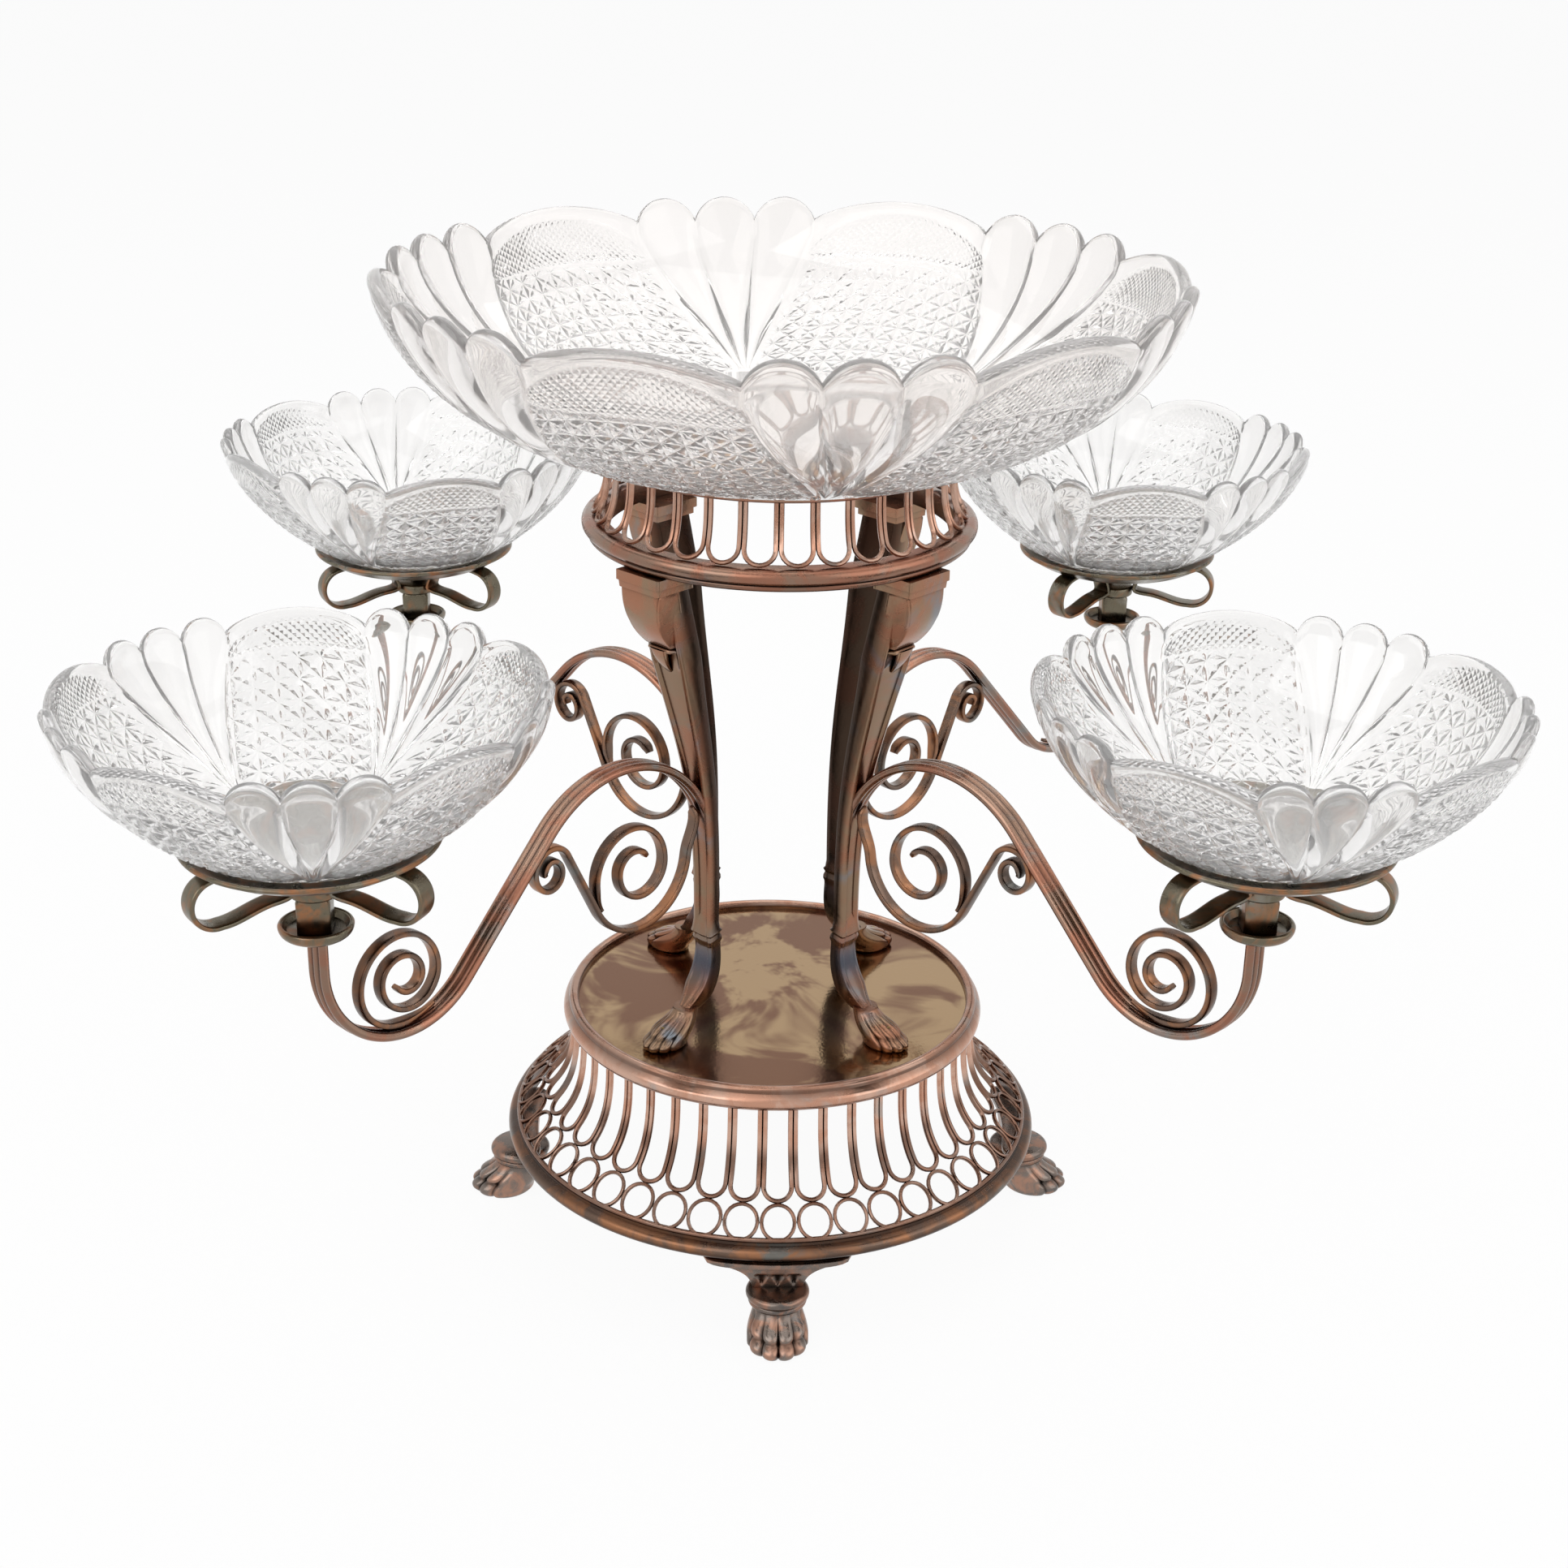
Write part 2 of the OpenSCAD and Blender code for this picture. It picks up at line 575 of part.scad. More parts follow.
// Second strap, from its seam inside the loop through three ever smaller half turns
inner_r = loop_bend - strap_t - seam;
inner_1 = loop_c + [inner_r - 0.7 * loop_bend, 0];
inner_2 = inner_1 - [0.23 * loop_bend, 0];
inner_3 = inner_2 + [0.16 * loop_bend, 0];
inner_scroll_line = concat(
    arc(loop_c, inner_r, -32, 0),
    tail(arc(inner_1, 0.7 * loop_bend, 0, 180)),
    tail(arc(inner_2, 0.47 * loop_bend, 180, 360)),
    tail(arc(inner_3, 0.31 * loop_bend, 0, 150)));
module inner_scroll() color(BROWN) upright(strap_w) strip(inner_scroll_line, -strap_t / 2, strap_t / 2);

// Sockets and carriers, about the socket's own axis

peg_l = socket_block_h - 2;
cup_rim = 1.8;
block_z = riser_z + socket_flange_t;
block_top = block_z + socket_block_h;
hub_z = block_top + bowl_gap;
dish_z = hub_z + hub_h + dish_lift;

module socket() color(BRONZE) translate([socket_r, 0, 0]) difference() {
    union() {
        difference() {
            translate([0, 0, riser_z])
                cylinder(r1 = 0.85 * socket_flange_r, r2 = socket_flange_r, h = socket_flange_t);
            translate([0, 0, block_z - socket_cup])
                cylinder(r = socket_flange_r - cup_rim, h = socket_cup + over);
        }
        // The block's sides face the stand's front and sides
        translate([0, 0, block_z - socket_cup - over / 2]) rotate(45)
            translate([-socket_block / 2, -socket_block / 2, 0])
                cube([socket_block, socket_block, socket_block_h + socket_cup + over / 2]);
    }
    translate([0, 0, block_top - peg_l - over]) cylinder(r = peg_r + peg_clear, h = peg_l + 2 * over);
}

module carrier_hub() color(BRONZE) {
    translate([0, 0, hub_z]) cylinder(r = hub_r, h = hub_h);
    translate([0, 0, block_top - peg_l]) cylinder(r = peg_r, h = hub_z + hub_h / 2 - block_top + peg_l);
}

// Saucer, as radius and height
dish_rise = dish_h - dish_t;
module dish_solid() rotate_extrude($fn = 96)
    polygon([[0, dish_z], [dish_floor_r, dish_z], [dish_r, dish_z + dish_rise], [dish_r, dish_z + dish_h],
        [0, dish_z + dish_h]]);
module carrier_dish() color(BRONZE) rotate_extrude($fn = 96) {
    polygon([[0, dish_z], [dish_floor_r, dish_z], [dish_r, dish_z + dish_rise], [dish_r, dish_z + dish_h],
        [dish_r - dish_t, dish_z + dish_h], [dish_floor_r - dish_t, dish_z + dish_t], [0, dish_z + dish_t]]);
    translate([dish_r, dish_z + dish_h - dish_t / 2]) circle(dish_t / 2);
}

// One strap drops from the dish to the hub, runs out and down, and loops back up to the dish
strap_low = hub_z - 1.5;
strap_loop = (dish_z + 0.3 - strap_low) / 2;
strap_far = [carrier_reach - carrier_strap_t / 2 - strap_loop, strap_low + strap_loop];
carrier_line = concat(
    cubic([[hub_r + 3.5, dish_z + over], [hub_r + 3, hub_z + hub_h], [hub_r - 5, hub_z + hub_h / 2],
        [hub_r + 6, hub_z + hub_h / 2]], 8),
    arc(strap_far, strap_loop, -100, 80),
    [[dish_floor_r - 2.5, dish_z + 1.2]]);
module carrier_straps() color(BRONZE) difference() {
    for (k = [0 : 2]) rotate(120 * k)
        upright(carrier_strap_w) strip(carrier_line, -carrier_strap_t / 2, carrier_strap_t / 2);
    dish_solid();
    translate([0, 0, hub_z - over]) cylinder(r = hub_r, h = hub_h + 2 * over);
}

// Bowls

// Radius of the round top of a tab of half width w whose sides are lower by notch
function tab_round(w, notch) = (w * w + notch * notch) / (2 * notch);

// Cuts the notch between two round-topped tabs of half widths a and b, in a rim of radius r at height h
tab_flat = 0.4;
module notch_cut(r, h, notch, a, b) across(0.5 * r, 1.3 * r) difference() {
    translate([-a, h - notch - over]) square([a + b, notch + 2 * over]);
    for (q = [[-a, tab_round(a, notch)], [b, tab_round(b, notch)]])
        translate([q[0], h - q[1] + tab_flat]) circle(q[1], $fn = 96);
}

// Glass shell with a flat base of radius base, rim radius r, height h and an even wall
// The side bends through control points low and high; the rim has n fans of three narrow tabs and n wide tabs
module glass(base, r, h, wall, n, notch, low, high) {
    side = cubic([[base, 0], low, high, [r, h]], 12);
    line = concat([[0, 0]], side, [[r, h] + ([r, h] - high) / norm([r, h] - high) * 2 * wall]);
    turn = 360 / n;
    wide = r * sin(turn / 4);
    narrow = r * sin(turn / 12);
    difference() {
        rotate_extrude($fn = 120) intersection() {
            polygon(concat(line, back(beside(line, wall))));
            square([1.3 * r, h]);
        }
        for (i = [0 : n - 1]) rotate(i * turn) {
            rotate(-turn / 4) notch_cut(r, h, notch, wide, narrow);
            for (k = [-1, 1]) rotate(k * turn / 12) notch_cut(r, h, notch, narrow, narrow);
            rotate(turn / 4) notch_cut(r, h, notch, narrow, wide);
        }
    }
}

centre_flare = centre_bowl_r - centre_base_r;
module centre_bowl() color(GLASS) translate([0, 0, centre_z]) rotate(centre_turn)
    glass(centre_base_r, centre_bowl_r, centre_bowl_h, centre_wall, centre_fans,
        centre_notch, [centre_base_r + 0.29 * centre_flare, 0.12 * centre_bowl_h],
        [centre_bowl_r - 0.26 * centre_flare, 0.34 * centre_bowl_h]);

module bowl() color(GLASS) translate([0, 0, dish_z + dish_t + bowl_gap])
    glass(small_base_r, small_bowl_r, small_bowl_h, small_wall, small_fans,
        small_notch, [dish_r + 2.2, 3.5], [small_bowl_r, 0.6 * small_bowl_h]);

base_ring();
base_gallery();
platform();
leg_screws();
top_ring();
top_gallery();
bowl_seat();
centre_bowl();
for (s = SIDES) rotate(s[1]) foot();
for (i = [0 : 3]) rotate(CORNERS[i][1]) {
    corner = CORNERS[i][0];
    leg();
    capital();
    arm();
    trough_scroll();
    leg_scroll();
    inner_scroll();
    socket();
    translate([socket_r, 0, 0]) rotate(carrier_turns[i]) {
        carrier_hub();
        carrier_straps();
        carrier_dish();
    }
    translate([socket_r, 0, 0]) rotate(small_turns[i])
        bowl();
}
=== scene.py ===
"""Four-branch table epergne in worn silver plate over copper, with five cut-glass bowls.

Shapes are worked out in millimetres and written to their meshes in metres: +Z is up, the front faces -Y.
"""

import math

import bpy
import numpy as np
from mathutils import Matrix


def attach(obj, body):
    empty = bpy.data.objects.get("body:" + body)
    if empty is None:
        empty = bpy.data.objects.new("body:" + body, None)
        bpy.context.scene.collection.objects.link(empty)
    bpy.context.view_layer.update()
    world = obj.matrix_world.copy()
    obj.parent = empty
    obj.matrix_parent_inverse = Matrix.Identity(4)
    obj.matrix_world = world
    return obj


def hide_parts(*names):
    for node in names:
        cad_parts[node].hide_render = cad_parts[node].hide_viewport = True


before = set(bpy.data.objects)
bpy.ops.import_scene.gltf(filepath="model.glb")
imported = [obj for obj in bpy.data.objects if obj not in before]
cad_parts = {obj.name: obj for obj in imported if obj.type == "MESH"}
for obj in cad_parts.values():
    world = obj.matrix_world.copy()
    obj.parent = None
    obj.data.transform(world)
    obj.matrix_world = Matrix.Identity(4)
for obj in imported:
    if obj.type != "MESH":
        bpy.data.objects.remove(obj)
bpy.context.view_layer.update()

MM = 0.001
CORNERS = {"front_left": 225, "front_right": 315, "back_right": 45, "back_left": 135}
SIDES = {"front": 270, "right": 0, "back": 90, "left": 180}
CARRIER_TURNS = {"front_left": 109, "front_right": 20, "back_right": 60, "back_left": 73}
BOWL_TURNS = {"front_left": 55, "front_right": 28, "back_right": 44, "back_left": 44}

# Heights of the stack, from the table up
RING_Z = 28
GALLERY_Z = 35
PLATFORM_Z = 73.5
FLOOR_Z = 79.5
TOP_RING_Z = 250
TOP_GALLERY_Z = 257
SEAT_Z = 276.7
CENTRE_BOWL_Z = 278.9

# Branches: bends of the arms, the socket's place and the stack on it
SOCKET_R = 192.5
ARCH_C, ARCH_BEND = np.array([74.8, 146.0]), 41.5
TROUGH_C, TROUGH_BEND = np.array([162.0, 159.0]), 30.5
ARM_T = 3.5
STRAP_W, STRAP_T = 4.2, 2.0
RISER_Z = 171
BLOCK_TOP = 183.5
HUB_Z = 183.7
DISH_Z = 196.7
BOWL_Z = 198.4
LOOP_R = 7.4


# Curves and surfaces

def bow(centre, radius, first, last, steps):
    """Arc: points at the radius from the centre, from angle first to angle last in degrees."""
    angle = np.radians(np.linspace(first, last, steps + 1))
    return np.asarray(centre) + radius * np.stack([np.cos(angle), np.sin(angle)], 1)


def sweep_curve(points, steps):
    """Cubic curve: the four control points weighted by the cubic Bernstein terms."""
    t = np.linspace(0, 1, steps + 1)[:, None]
    a, b, c, d = np.asarray(points, float)
    return (1 - t) ** 3 * a + 3 * (1 - t) ** 2 * t * b + 3 * (1 - t) * t * t * c + t ** 3 * d


def end_to_end(*runs):
    """Runs of points joined in one line, each later run without its first point."""
    return np.concatenate([np.asarray(runs[0], float)] + [np.asarray(r, float)[1:] for r in runs[1:]])


def ease(x, low, high):
    """Smooth step: 0 at low, 1 at high, 3t^2 - 2t^3 between."""
    t = np.clip((np.asarray(x, float) - low) / (high - low), 0, 1)
    return t * t * (3 - 2 * t)


def hump(x, middle, width):
    """Bell curve: e to the minus square of the distance from the middle over the width."""
    return np.exp(-((np.asarray(x, float) - middle) / width) ** 2)


def along(line):
    """Length of a path from its start to each of its points."""
    return np.concatenate([[0], np.cumsum(np.linalg.norm(np.diff(line, axis=0), axis=1))])


def evenly(line, steps):
    """A path's points set again at equal lengths along it."""
    length = along(line)
    at = np.linspace(0, length[-1], steps + 1)
    return np.stack([np.interp(at, length, line[:, k]) for k in range(line.shape[1])], 1)


def turned(points, azimuth):
    """Points turned about the upright axis by an azimuth in degrees."""
    a = math.radians(azimuth)
    x, y, z = np.moveaxis(points, -1, 0)
    return np.stack([math.cos(a) * x - math.sin(a) * y, math.sin(a) * x + math.cos(a) * y, z], -1)


def moved(points, x=0.0, y=0.0, z=0.0):
    """Points shifted by x, y and z."""
    return points + np.array([x, y, z])


def lathe(profile, steps):
    """Round shape: a profile of radius and height carried round the upright axis."""
    angle = np.linspace(0, 2 * math.pi, steps, endpoint=False)
    r, z = np.asarray(profile, float).T[:, :, None]
    return np.stack([r * np.cos(angle), r * np.sin(angle), z + 0 * angle], -1)


def carried(line, out, side):
    """Section carried along a path of radius and height: each point is the path's point plus out along
    the path's left-hand normal plus side across the plane of the path."""
    step = np.gradient(line, axis=0)
    step /= np.linalg.norm(step, axis=1, keepdims=True)
    radius = line[:, :1] - step[:, 1:] * out
    height = line[:, 1:] + step[:, :1] * out
    return np.stack([radius, side + 0 * radius, height], -1)


def rounded_bar(half_t, half_w, steps, square=4.0):
    """Section of a strap: the oval |x/a|^k + |y/b|^k = 1, k being how square it is."""
    angle = np.linspace(0, 2 * math.pi, steps, endpoint=False)
    c, s = np.cos(angle), np.sin(angle)
    return (half_t * np.sign(c) * np.abs(c) ** (2 / square), half_w * np.sign(s) * np.abs(s) ** (2 / square))


def slab(outline, half_width, bevel):
    """Plate cut to an outline of radius and height: the outline is set at stations across the plate,
    drawn in by the bevel at both faces. The half width may change from point to point of the outline."""
    outline = np.asarray(outline, float)
    middle = outline.mean(0)
    reach = np.linalg.norm(outline - middle, axis=1, keepdims=True)
    share = np.array([-1, -1, -0.98, -0.9, 0.9, 0.98, 1, 1])[:, None]
    inset = np.array([2.5, 1, 0.35, 0, 0, 0.35, 1, 2.5])[:, None, None] * bevel
    edge = middle + (outline - middle) * np.maximum(1 - inset / reach, 0.05)
    across = share * (np.asarray(half_width) + np.zeros(len(outline)))
    return np.stack([edge[..., 0], across, edge[..., 1]], -1)


def faces_of(points, ring):
    """Quads of a grid whose rows close on themselves. With ring the last row meets the first; without
    it a fan closes each end. The faces are turned over where the shell's signed volume is negative."""
    rows, cols = points.shape[:2]
    i = np.arange(rows if ring else rows - 1)[:, None]
    j = np.arange(cols)[None]
    across, below = (j + 1) % cols, (i + 1) % rows
    quads = np.stack([i * cols + j, i * cols + across, below * cols + across, below * cols + j], -1)
    quads = quads.reshape(-1, 4)
    verts = points.reshape(-1, 3)
    fans = np.zeros((0, 3), int)
    if not ring:
        verts = np.concatenate([verts, points[:1].mean(1), points[-1:].mean(1)])
        first, last, k = rows * cols, rows * cols + 1, np.arange(cols)
        following = (k + 1) % cols
        low = (rows - 1) * cols
        fans = np.concatenate([np.stack([k * 0 + first, following, k], 1),
                               np.stack([k * 0 + last, low + k, low + following], 1)])
    triangles = np.concatenate([quads[:, [0, 1, 2]], quads[:, [0, 2, 3]], fans])
    a, b, c = (verts[triangles[:, k]] for k in range(3))
    if np.einsum("ij,ij->i", a, np.cross(b, c)).sum() < 0:
        quads, fans = quads[:, ::-1], fans[:, ::-1]
    return verts, quads, fans


def piece(name, body, finish, shells, nodes, sharp=40, marks=None):
    """One mesh object of closed shells, riding a body and standing for CAD nodes. A shell is a grid of
    points and whether its last row meets its first. Marks are values per point of each shell that the
    material reads."""
    verts, faces, count = [], [], 0
    for points, ring in shells:
        v, quads, fans = faces_of(points, ring)
        faces += (quads + count).tolist() + (fans + count).tolist()
        verts.append(v)
        count += len(v)
    mesh = bpy.data.meshes.new(name)
    mesh.from_pydata((np.concatenate(verts) * MM).tolist(), [], faces)
    for mark, values in (marks or {}).items():
        data = np.zeros(count, np.float32)
        starts = np.cumsum([0] + [len(v) for v in verts])
        for start, value, (points, ring) in zip(starts, values, shells):
            flat = np.broadcast_to(value, points.shape[:2]).ravel()
            data[start:start + flat.size] = flat
        mesh.attributes.new(mark, "FLOAT", "POINT").data.foreach_set("value", data)
    mesh.shade_smooth()
    mesh.set_sharp_from_angle(angle=math.radians(sharp))
    mesh.materials.append(finish)
    made = bpy.data.objects.new(name, mesh)
    bpy.context.scene.collection.objects.link(made)
    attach(made, body)
    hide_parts(*nodes)
    return made


# Finishes

STEEL_BLUE = "#566373"
# Grain and dents of worn metal in mm, the clouds' share of the patches' scale, and the added roughness of
# dull spots
GRAIN, DENT, CLOUD_SCALE, DULL_SPOTS = 1.3, 0.12, 0.45, 0.16
# Distances between the cuts of the hatched lenses and of the starred fields of the glass, in mm
HATCH_PITCH, STAR_PITCH = 2.6, 7.0


def linear(hex_colour):
    """sRGB hex to linear RGBA: each channel over 12.92 when dark, else ((c + 0.055) / 1.055) ^ 2.4."""
    c = [int(hex_colour[k:k + 2], 16) / 255 for k in (1, 3, 5)]
    return tuple(x / 12.92 if x <= 0.04045 else ((x + 0.055) / 1.055) ** 2.4 for x in c) + (1.0,)


def add(tree, kind, inputs=None, **settings):
    """Adds a node with its settings; an input that is a socket is linked, and any other value is set."""
    made = tree.nodes.new(kind)
    for key, value in settings.items():
        setattr(made, key, value)
    for key, value in (inputs or {}).items():
        if isinstance(value, bpy.types.NodeSocket):
            tree.links.new(value, made.inputs[key])
        else:
            made.inputs[key].default_value = value
    return made


def new_finish(name):
    """Empty material with its node tree and output."""
    finish = bpy.data.materials.new(name)
    finish.use_nodes = True
    finish.node_tree.nodes.clear()
    return finish, finish.node_tree


def worn_plate(name, ground, worn, bloom, tarnish_and_shade, patch, wear, shade, gloss, edge=0.12, crease_shade_reach=4.0):
    """Silver plate rubbed through to copper. Broad patches of the worn tone lie over the ground, cloudy
    bloom between them, and the tarnish colour in the creases, laid by ambient occlusion as painted shade
    that stands also for tarnish there, and wherever the piece's own mark says: that mark paints shade and
    highlights as well as tarnish. Its blueing mark says where old silver has gone blue. The patch is the
    size of a worn spot in mm; wear and shade are the shares of worn metal and of tarnish, edge is how
    softly a worn spot ends, and the crease argument is the reach in mm of the painted crease shade."""
    finish, tree = new_finish(name)
    place = add(tree, "ShaderNodeTexCoord").outputs["Object"]
    broad = add(tree, "ShaderNodeTexNoise", {
        "Vector": place, "Scale": 1 / (patch * MM), "Detail": 4.0, "Roughness": 0.6,
        "Distortion": 0.8}).outputs[0]
    clouds = add(tree, "ShaderNodeTexNoise", {
        "Vector": place, "Scale": CLOUD_SCALE / (patch * MM), "Detail": 2.0, "Distortion": 1.5}).outputs[0]
    grain = add(tree, "ShaderNodeTexNoise", {
        "Vector": place, "Scale": 1 / (GRAIN * MM), "Detail": 3.0}).outputs[0]
    worn_from = 0.68 - 0.3 * wear
    rubbed = add(tree, "ShaderNodeMapRange", {
        "Value": broad, "From Min": worn_from - edge / 2, "From Max": worn_from + edge / 2},
        interpolation_type="SMOOTHSTEP")
    bloomed = add(tree, "ShaderNodeMapRange", {"Value": clouds, "From Min": 0.55, "From Max": 0.7},
                  interpolation_type="SMOOTHSTEP")
    # Ambient occlusion darkens the creases: painted shade, standing also for tarnish in them
    creases = add(tree, "ShaderNodeAmbientOcclusion", {"Distance": crease_shade_reach * MM}, samples=4, only_local=True)
    painted_crease_shade = add(tree, "ShaderNodeMapRange", {
        "Value": creases.outputs["AO"], "From Min": 0.9, "From Max": 0.35, "To Max": 0.9})
    # The piece's own mark darkens for tarnish and painted shade, and is lowered on crests for painted
    # highlights
    marked = add(tree, "ShaderNodeAttribute", attribute_name="tarnish_and_shade").outputs["Fac"]
    speckled = add(tree, "ShaderNodeMapRange", {
        "Value": grain, "From Min": 0.72 - 0.3 * shade, "From Max": 0.9, "To Max": 0.4})
    crease_shade_and_speckle = add(tree, "ShaderNodeMath", {0: painted_crease_shade.outputs[0], 1: speckled.outputs[0]}, operation="MAXIMUM")
    dark = add(tree, "ShaderNodeMath", {0: crease_shade_and_speckle.outputs[0], 1: marked}, operation="MAXIMUM")
    blued = add(tree, "ShaderNodeAttribute", attribute_name="blueing").outputs["Fac"]
    tone = linear(ground)
    for share, over in ((bloomed.outputs[0], bloom), (rubbed.outputs[0], worn), (blued, STEEL_BLUE),
                        (dark.outputs[0], tarnish_and_shade)):
        tone = add(tree, "ShaderNodeMix", {0: share, 6: tone, 7: linear(over)}, data_type="RGBA").outputs[2]
    rough = add(tree, "ShaderNodeMapRange", {
        "Value": broad, "From Min": 0.3, "From Max": 0.7, "To Min": gloss,
        "To Max": gloss + DULL_SPOTS}).outputs[0]
    dents = add(tree, "ShaderNodeBump", {"Height": grain, "Strength": 0.25, "Distance": DENT * MM})
    metal = add(tree, "ShaderNodeBsdfPrincipled", {
        "Base Color": tone, "Metallic": 1.0, "Roughness": rough, "Normal": dents.outputs[0]})
    add(tree, "ShaderNodeOutputMaterial", {"Surface": metal.outputs[0]})
    return finish


def cut_glass(name, tint):
    """Clear pressed and cut glass: near-white, sharp gloss, and fine V cuts read from the panels' marks.
    Hatched lenses have two crossed sets of cuts and starred fields have four. A set of cuts is a folded
    wave of the distances round and down the panel, and the lowest wave gives the depth."""
    finish, tree = new_finish(name)
    around, down, hatch, stars = (add(tree, "ShaderNodeAttribute", attribute_name=mark).outputs["Fac"]
                                  for mark in ("around", "down", "hatch", "stars"))
    slants = [add(tree, "ShaderNodeMath", {0: around, 1: down}, operation=way).outputs[0]
              for way in ("ADD", "SUBTRACT")]
    fields = []
    for field, distances, pitch in ((hatch, slants, HATCH_PITCH),
                                    (stars, [around, down] + slants, STAR_PITCH)):
        lowest = None
        for distance in distances:
            wave = add(tree, "ShaderNodeMath", {0: distance, 1: pitch / 2}, operation="PINGPONG").outputs[0]
            lowest = wave if lowest is None else add(tree, "ShaderNodeMath", {0: lowest, 1: wave},
                                                     operation="MINIMUM").outputs[0]
        fields.append(add(tree, "ShaderNodeMath", {0: lowest, 1: field}, operation="MULTIPLY").outputs[0])
    depth = add(tree, "ShaderNodeMath", {0: fields[0], 1: fields[1]}, operation="ADD").outputs[0]
    facets = add(tree, "ShaderNodeBump", {"Height": depth, "Strength": 0.5, "Distance": 0.6 * MM})
    ripple = add(tree, "ShaderNodeTexNoise", {
        "Vector": add(tree, "ShaderNodeTexCoord").outputs["Object"], "Scale": 1 / (25 * MM)}).outputs[0]
    rough = add(tree, "ShaderNodeMapRange", {"Value": ripple, "To Min": 0.0, "To Max": 0.05}).outputs[0]
    glass = add(tree, "ShaderNodeBsdfPrincipled", {
        "Base Color": linear(tint), "Roughness": rough, "IOR": 1.5, "Transmission Weight": 0.9,
        "Normal": facets.outputs[0]})
    add(tree, "ShaderNodeOutputMaterial", {"Surface": glass.outputs[0]})
    return finish


# Polished plate worn to brown copper, with silver-grey left in patches
COPPER = worn_plate("worn_silver_plate", "#967A69", "#A1705B", "#8B8580", "#2C201C",
                    patch=16, wear=0.55, shade=0.2, gloss=0.17, edge=0.22)
# The same plate rubbed bright on the wires of the galleries, pink copper nearly bare
ROSE = worn_plate("rubbed_rose_copper", "#C9A592", "#BE8F78", "#AE9F96", "#35261F",
                  patch=12, wear=0.6, shade=0.2, gloss=0.15, edge=0.25, crease_shade_reach=0.8)
# Golden-brown plate of the legs, with blue-grey silver in the sunk panels
GOLDEN = worn_plate("golden_brown_plate", "#8F7660", "#9F7058", "#7D838A", "#1E1512",
                    patch=18, wear=0.5, shade=0.2, gloss=0.16, edge=0.25)
# Plate tarnished brown, with greenish silver where it is thickest and orange where it is rubbed
BROWN = worn_plate("tarnished_plate", "#705C50", "#9C6E50", "#75746F", "#241A17",
                   patch=14, wear=0.5, shade=0.3, gloss=0.2, edge=0.2)
# Polished floor under a mottled skin of golden-brown patina
PATINA = worn_plate("mottled_patina_plate", "#A68A68", "#76543F", "#8A6552", "#3A2C24",
                    patch=46, wear=0.6, shade=0.1, gloss=0.06, edge=0.1)
# Cast metal toned dark, grey-green outside and orange copper where it is handled
BRONZE = worn_plate("dark_cast_bronze", "#6B6455", "#976A4B", "#807B71", "#1F1915",
                    patch=9, wear=0.35, shade=0.3, gloss=0.22, edge=0.25)
# Cast feet: pewter grey with copper on the high places, and folds near-black as painted shade and tarnish
PAW_METAL = worn_plate("rubbed_cast_plate", "#7A6F68", "#A27E6C", "#686462", "#120D0B",
                       patch=7, wear=0.5, shade=0.35, gloss=0.2, edge=0.2)
# Dull turned brass of the hidden screws
BRASS = worn_plate("dull_brass", "#8F7A4B", "#A58C55", "#7A6A48", "#3A2F1E",
                   patch=6, wear=0.4, shade=0.3, gloss=0.35)
# Colourless lead glass that greys a little in its depth, so that it stands pale against the white
CLEAR = cut_glass("clear_cut_glass", "#FBFAF9")
# The same glass with the faint lilac of old age
LILAC = cut_glass("faint_lilac_cut_glass", "#FDFAF8")

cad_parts["leg_screws"].data.materials.clear()
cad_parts["leg_screws"].data.materials.append(BRASS)


# Base

def base_ring():
    """Lathe of a half-round between two thin steps."""
    profile = end_to_end([(89, RING_Z), (91, RING_Z)], bow((91, RING_Z + 0.8), 0.8, -90, 70, 5),
                         bow((92.1, RING_Z + 3.4), 2.4, -80, 80, 14),
                         [(92.2, 33.9), (91.6, 34.1), (91.4, GALLERY_Z), (89, GALLERY_Z)])
    # Painted highlight along the crest of the half-round; the rest of the ring is darkened as painted shade
    painted_highlight = hump(profile[:, 1], RING_Z + 4.2, 1.1)[:, None]
    piece("base_ring_moulding", "stand", BROWN, [(lathe(profile, 160), True)], ["base_ring"],
          marks={"tarnish_and_shade": [0.75 - 0.65 * painted_highlight]})


def wrapped(wall, x, s, depth, turn=0.0):
    """Flat pattern laid on a round wall: x is the distance round, s the length up the wall's profile, and
    depth the distance out of the wall along its normal."""
    length = along(wall)
    slope = np.gradient(wall, length, axis=0)
    r, z, dr, dz = (np.interp(s, length, c) for c in (wall[:, 0], wall[:, 1], slope[:, 0], slope[:, 1]))
    angle = x / r + turn
    radius = r + dz * depth
    return np.stack([radius * np.cos(angle), radius * np.sin(angle), z - dr * depth], -1)


def wire_on_wall(wall, x, s, half_w, half_d, turn, steps=8):
    """Oval wire along a flat path (x, s) laid on a wall: the section's width lies along the path's flat
    normal and its depth along the wall's."""
    step = np.gradient(np.stack([x, s], 1), axis=0)
    step /= np.linalg.norm(step, axis=1, keepdims=True)
    q = np.linspace(0, 2 * math.pi, steps, endpoint=False)
    wide, deep = half_w * np.cos(q), half_d * np.sin(q)
    return wrapped(wall, x[:, None] - step[:, 1:] * wide, s[:, None] + step[:, :1] * wide,
                   deep + 0 * x[:, None], turn)


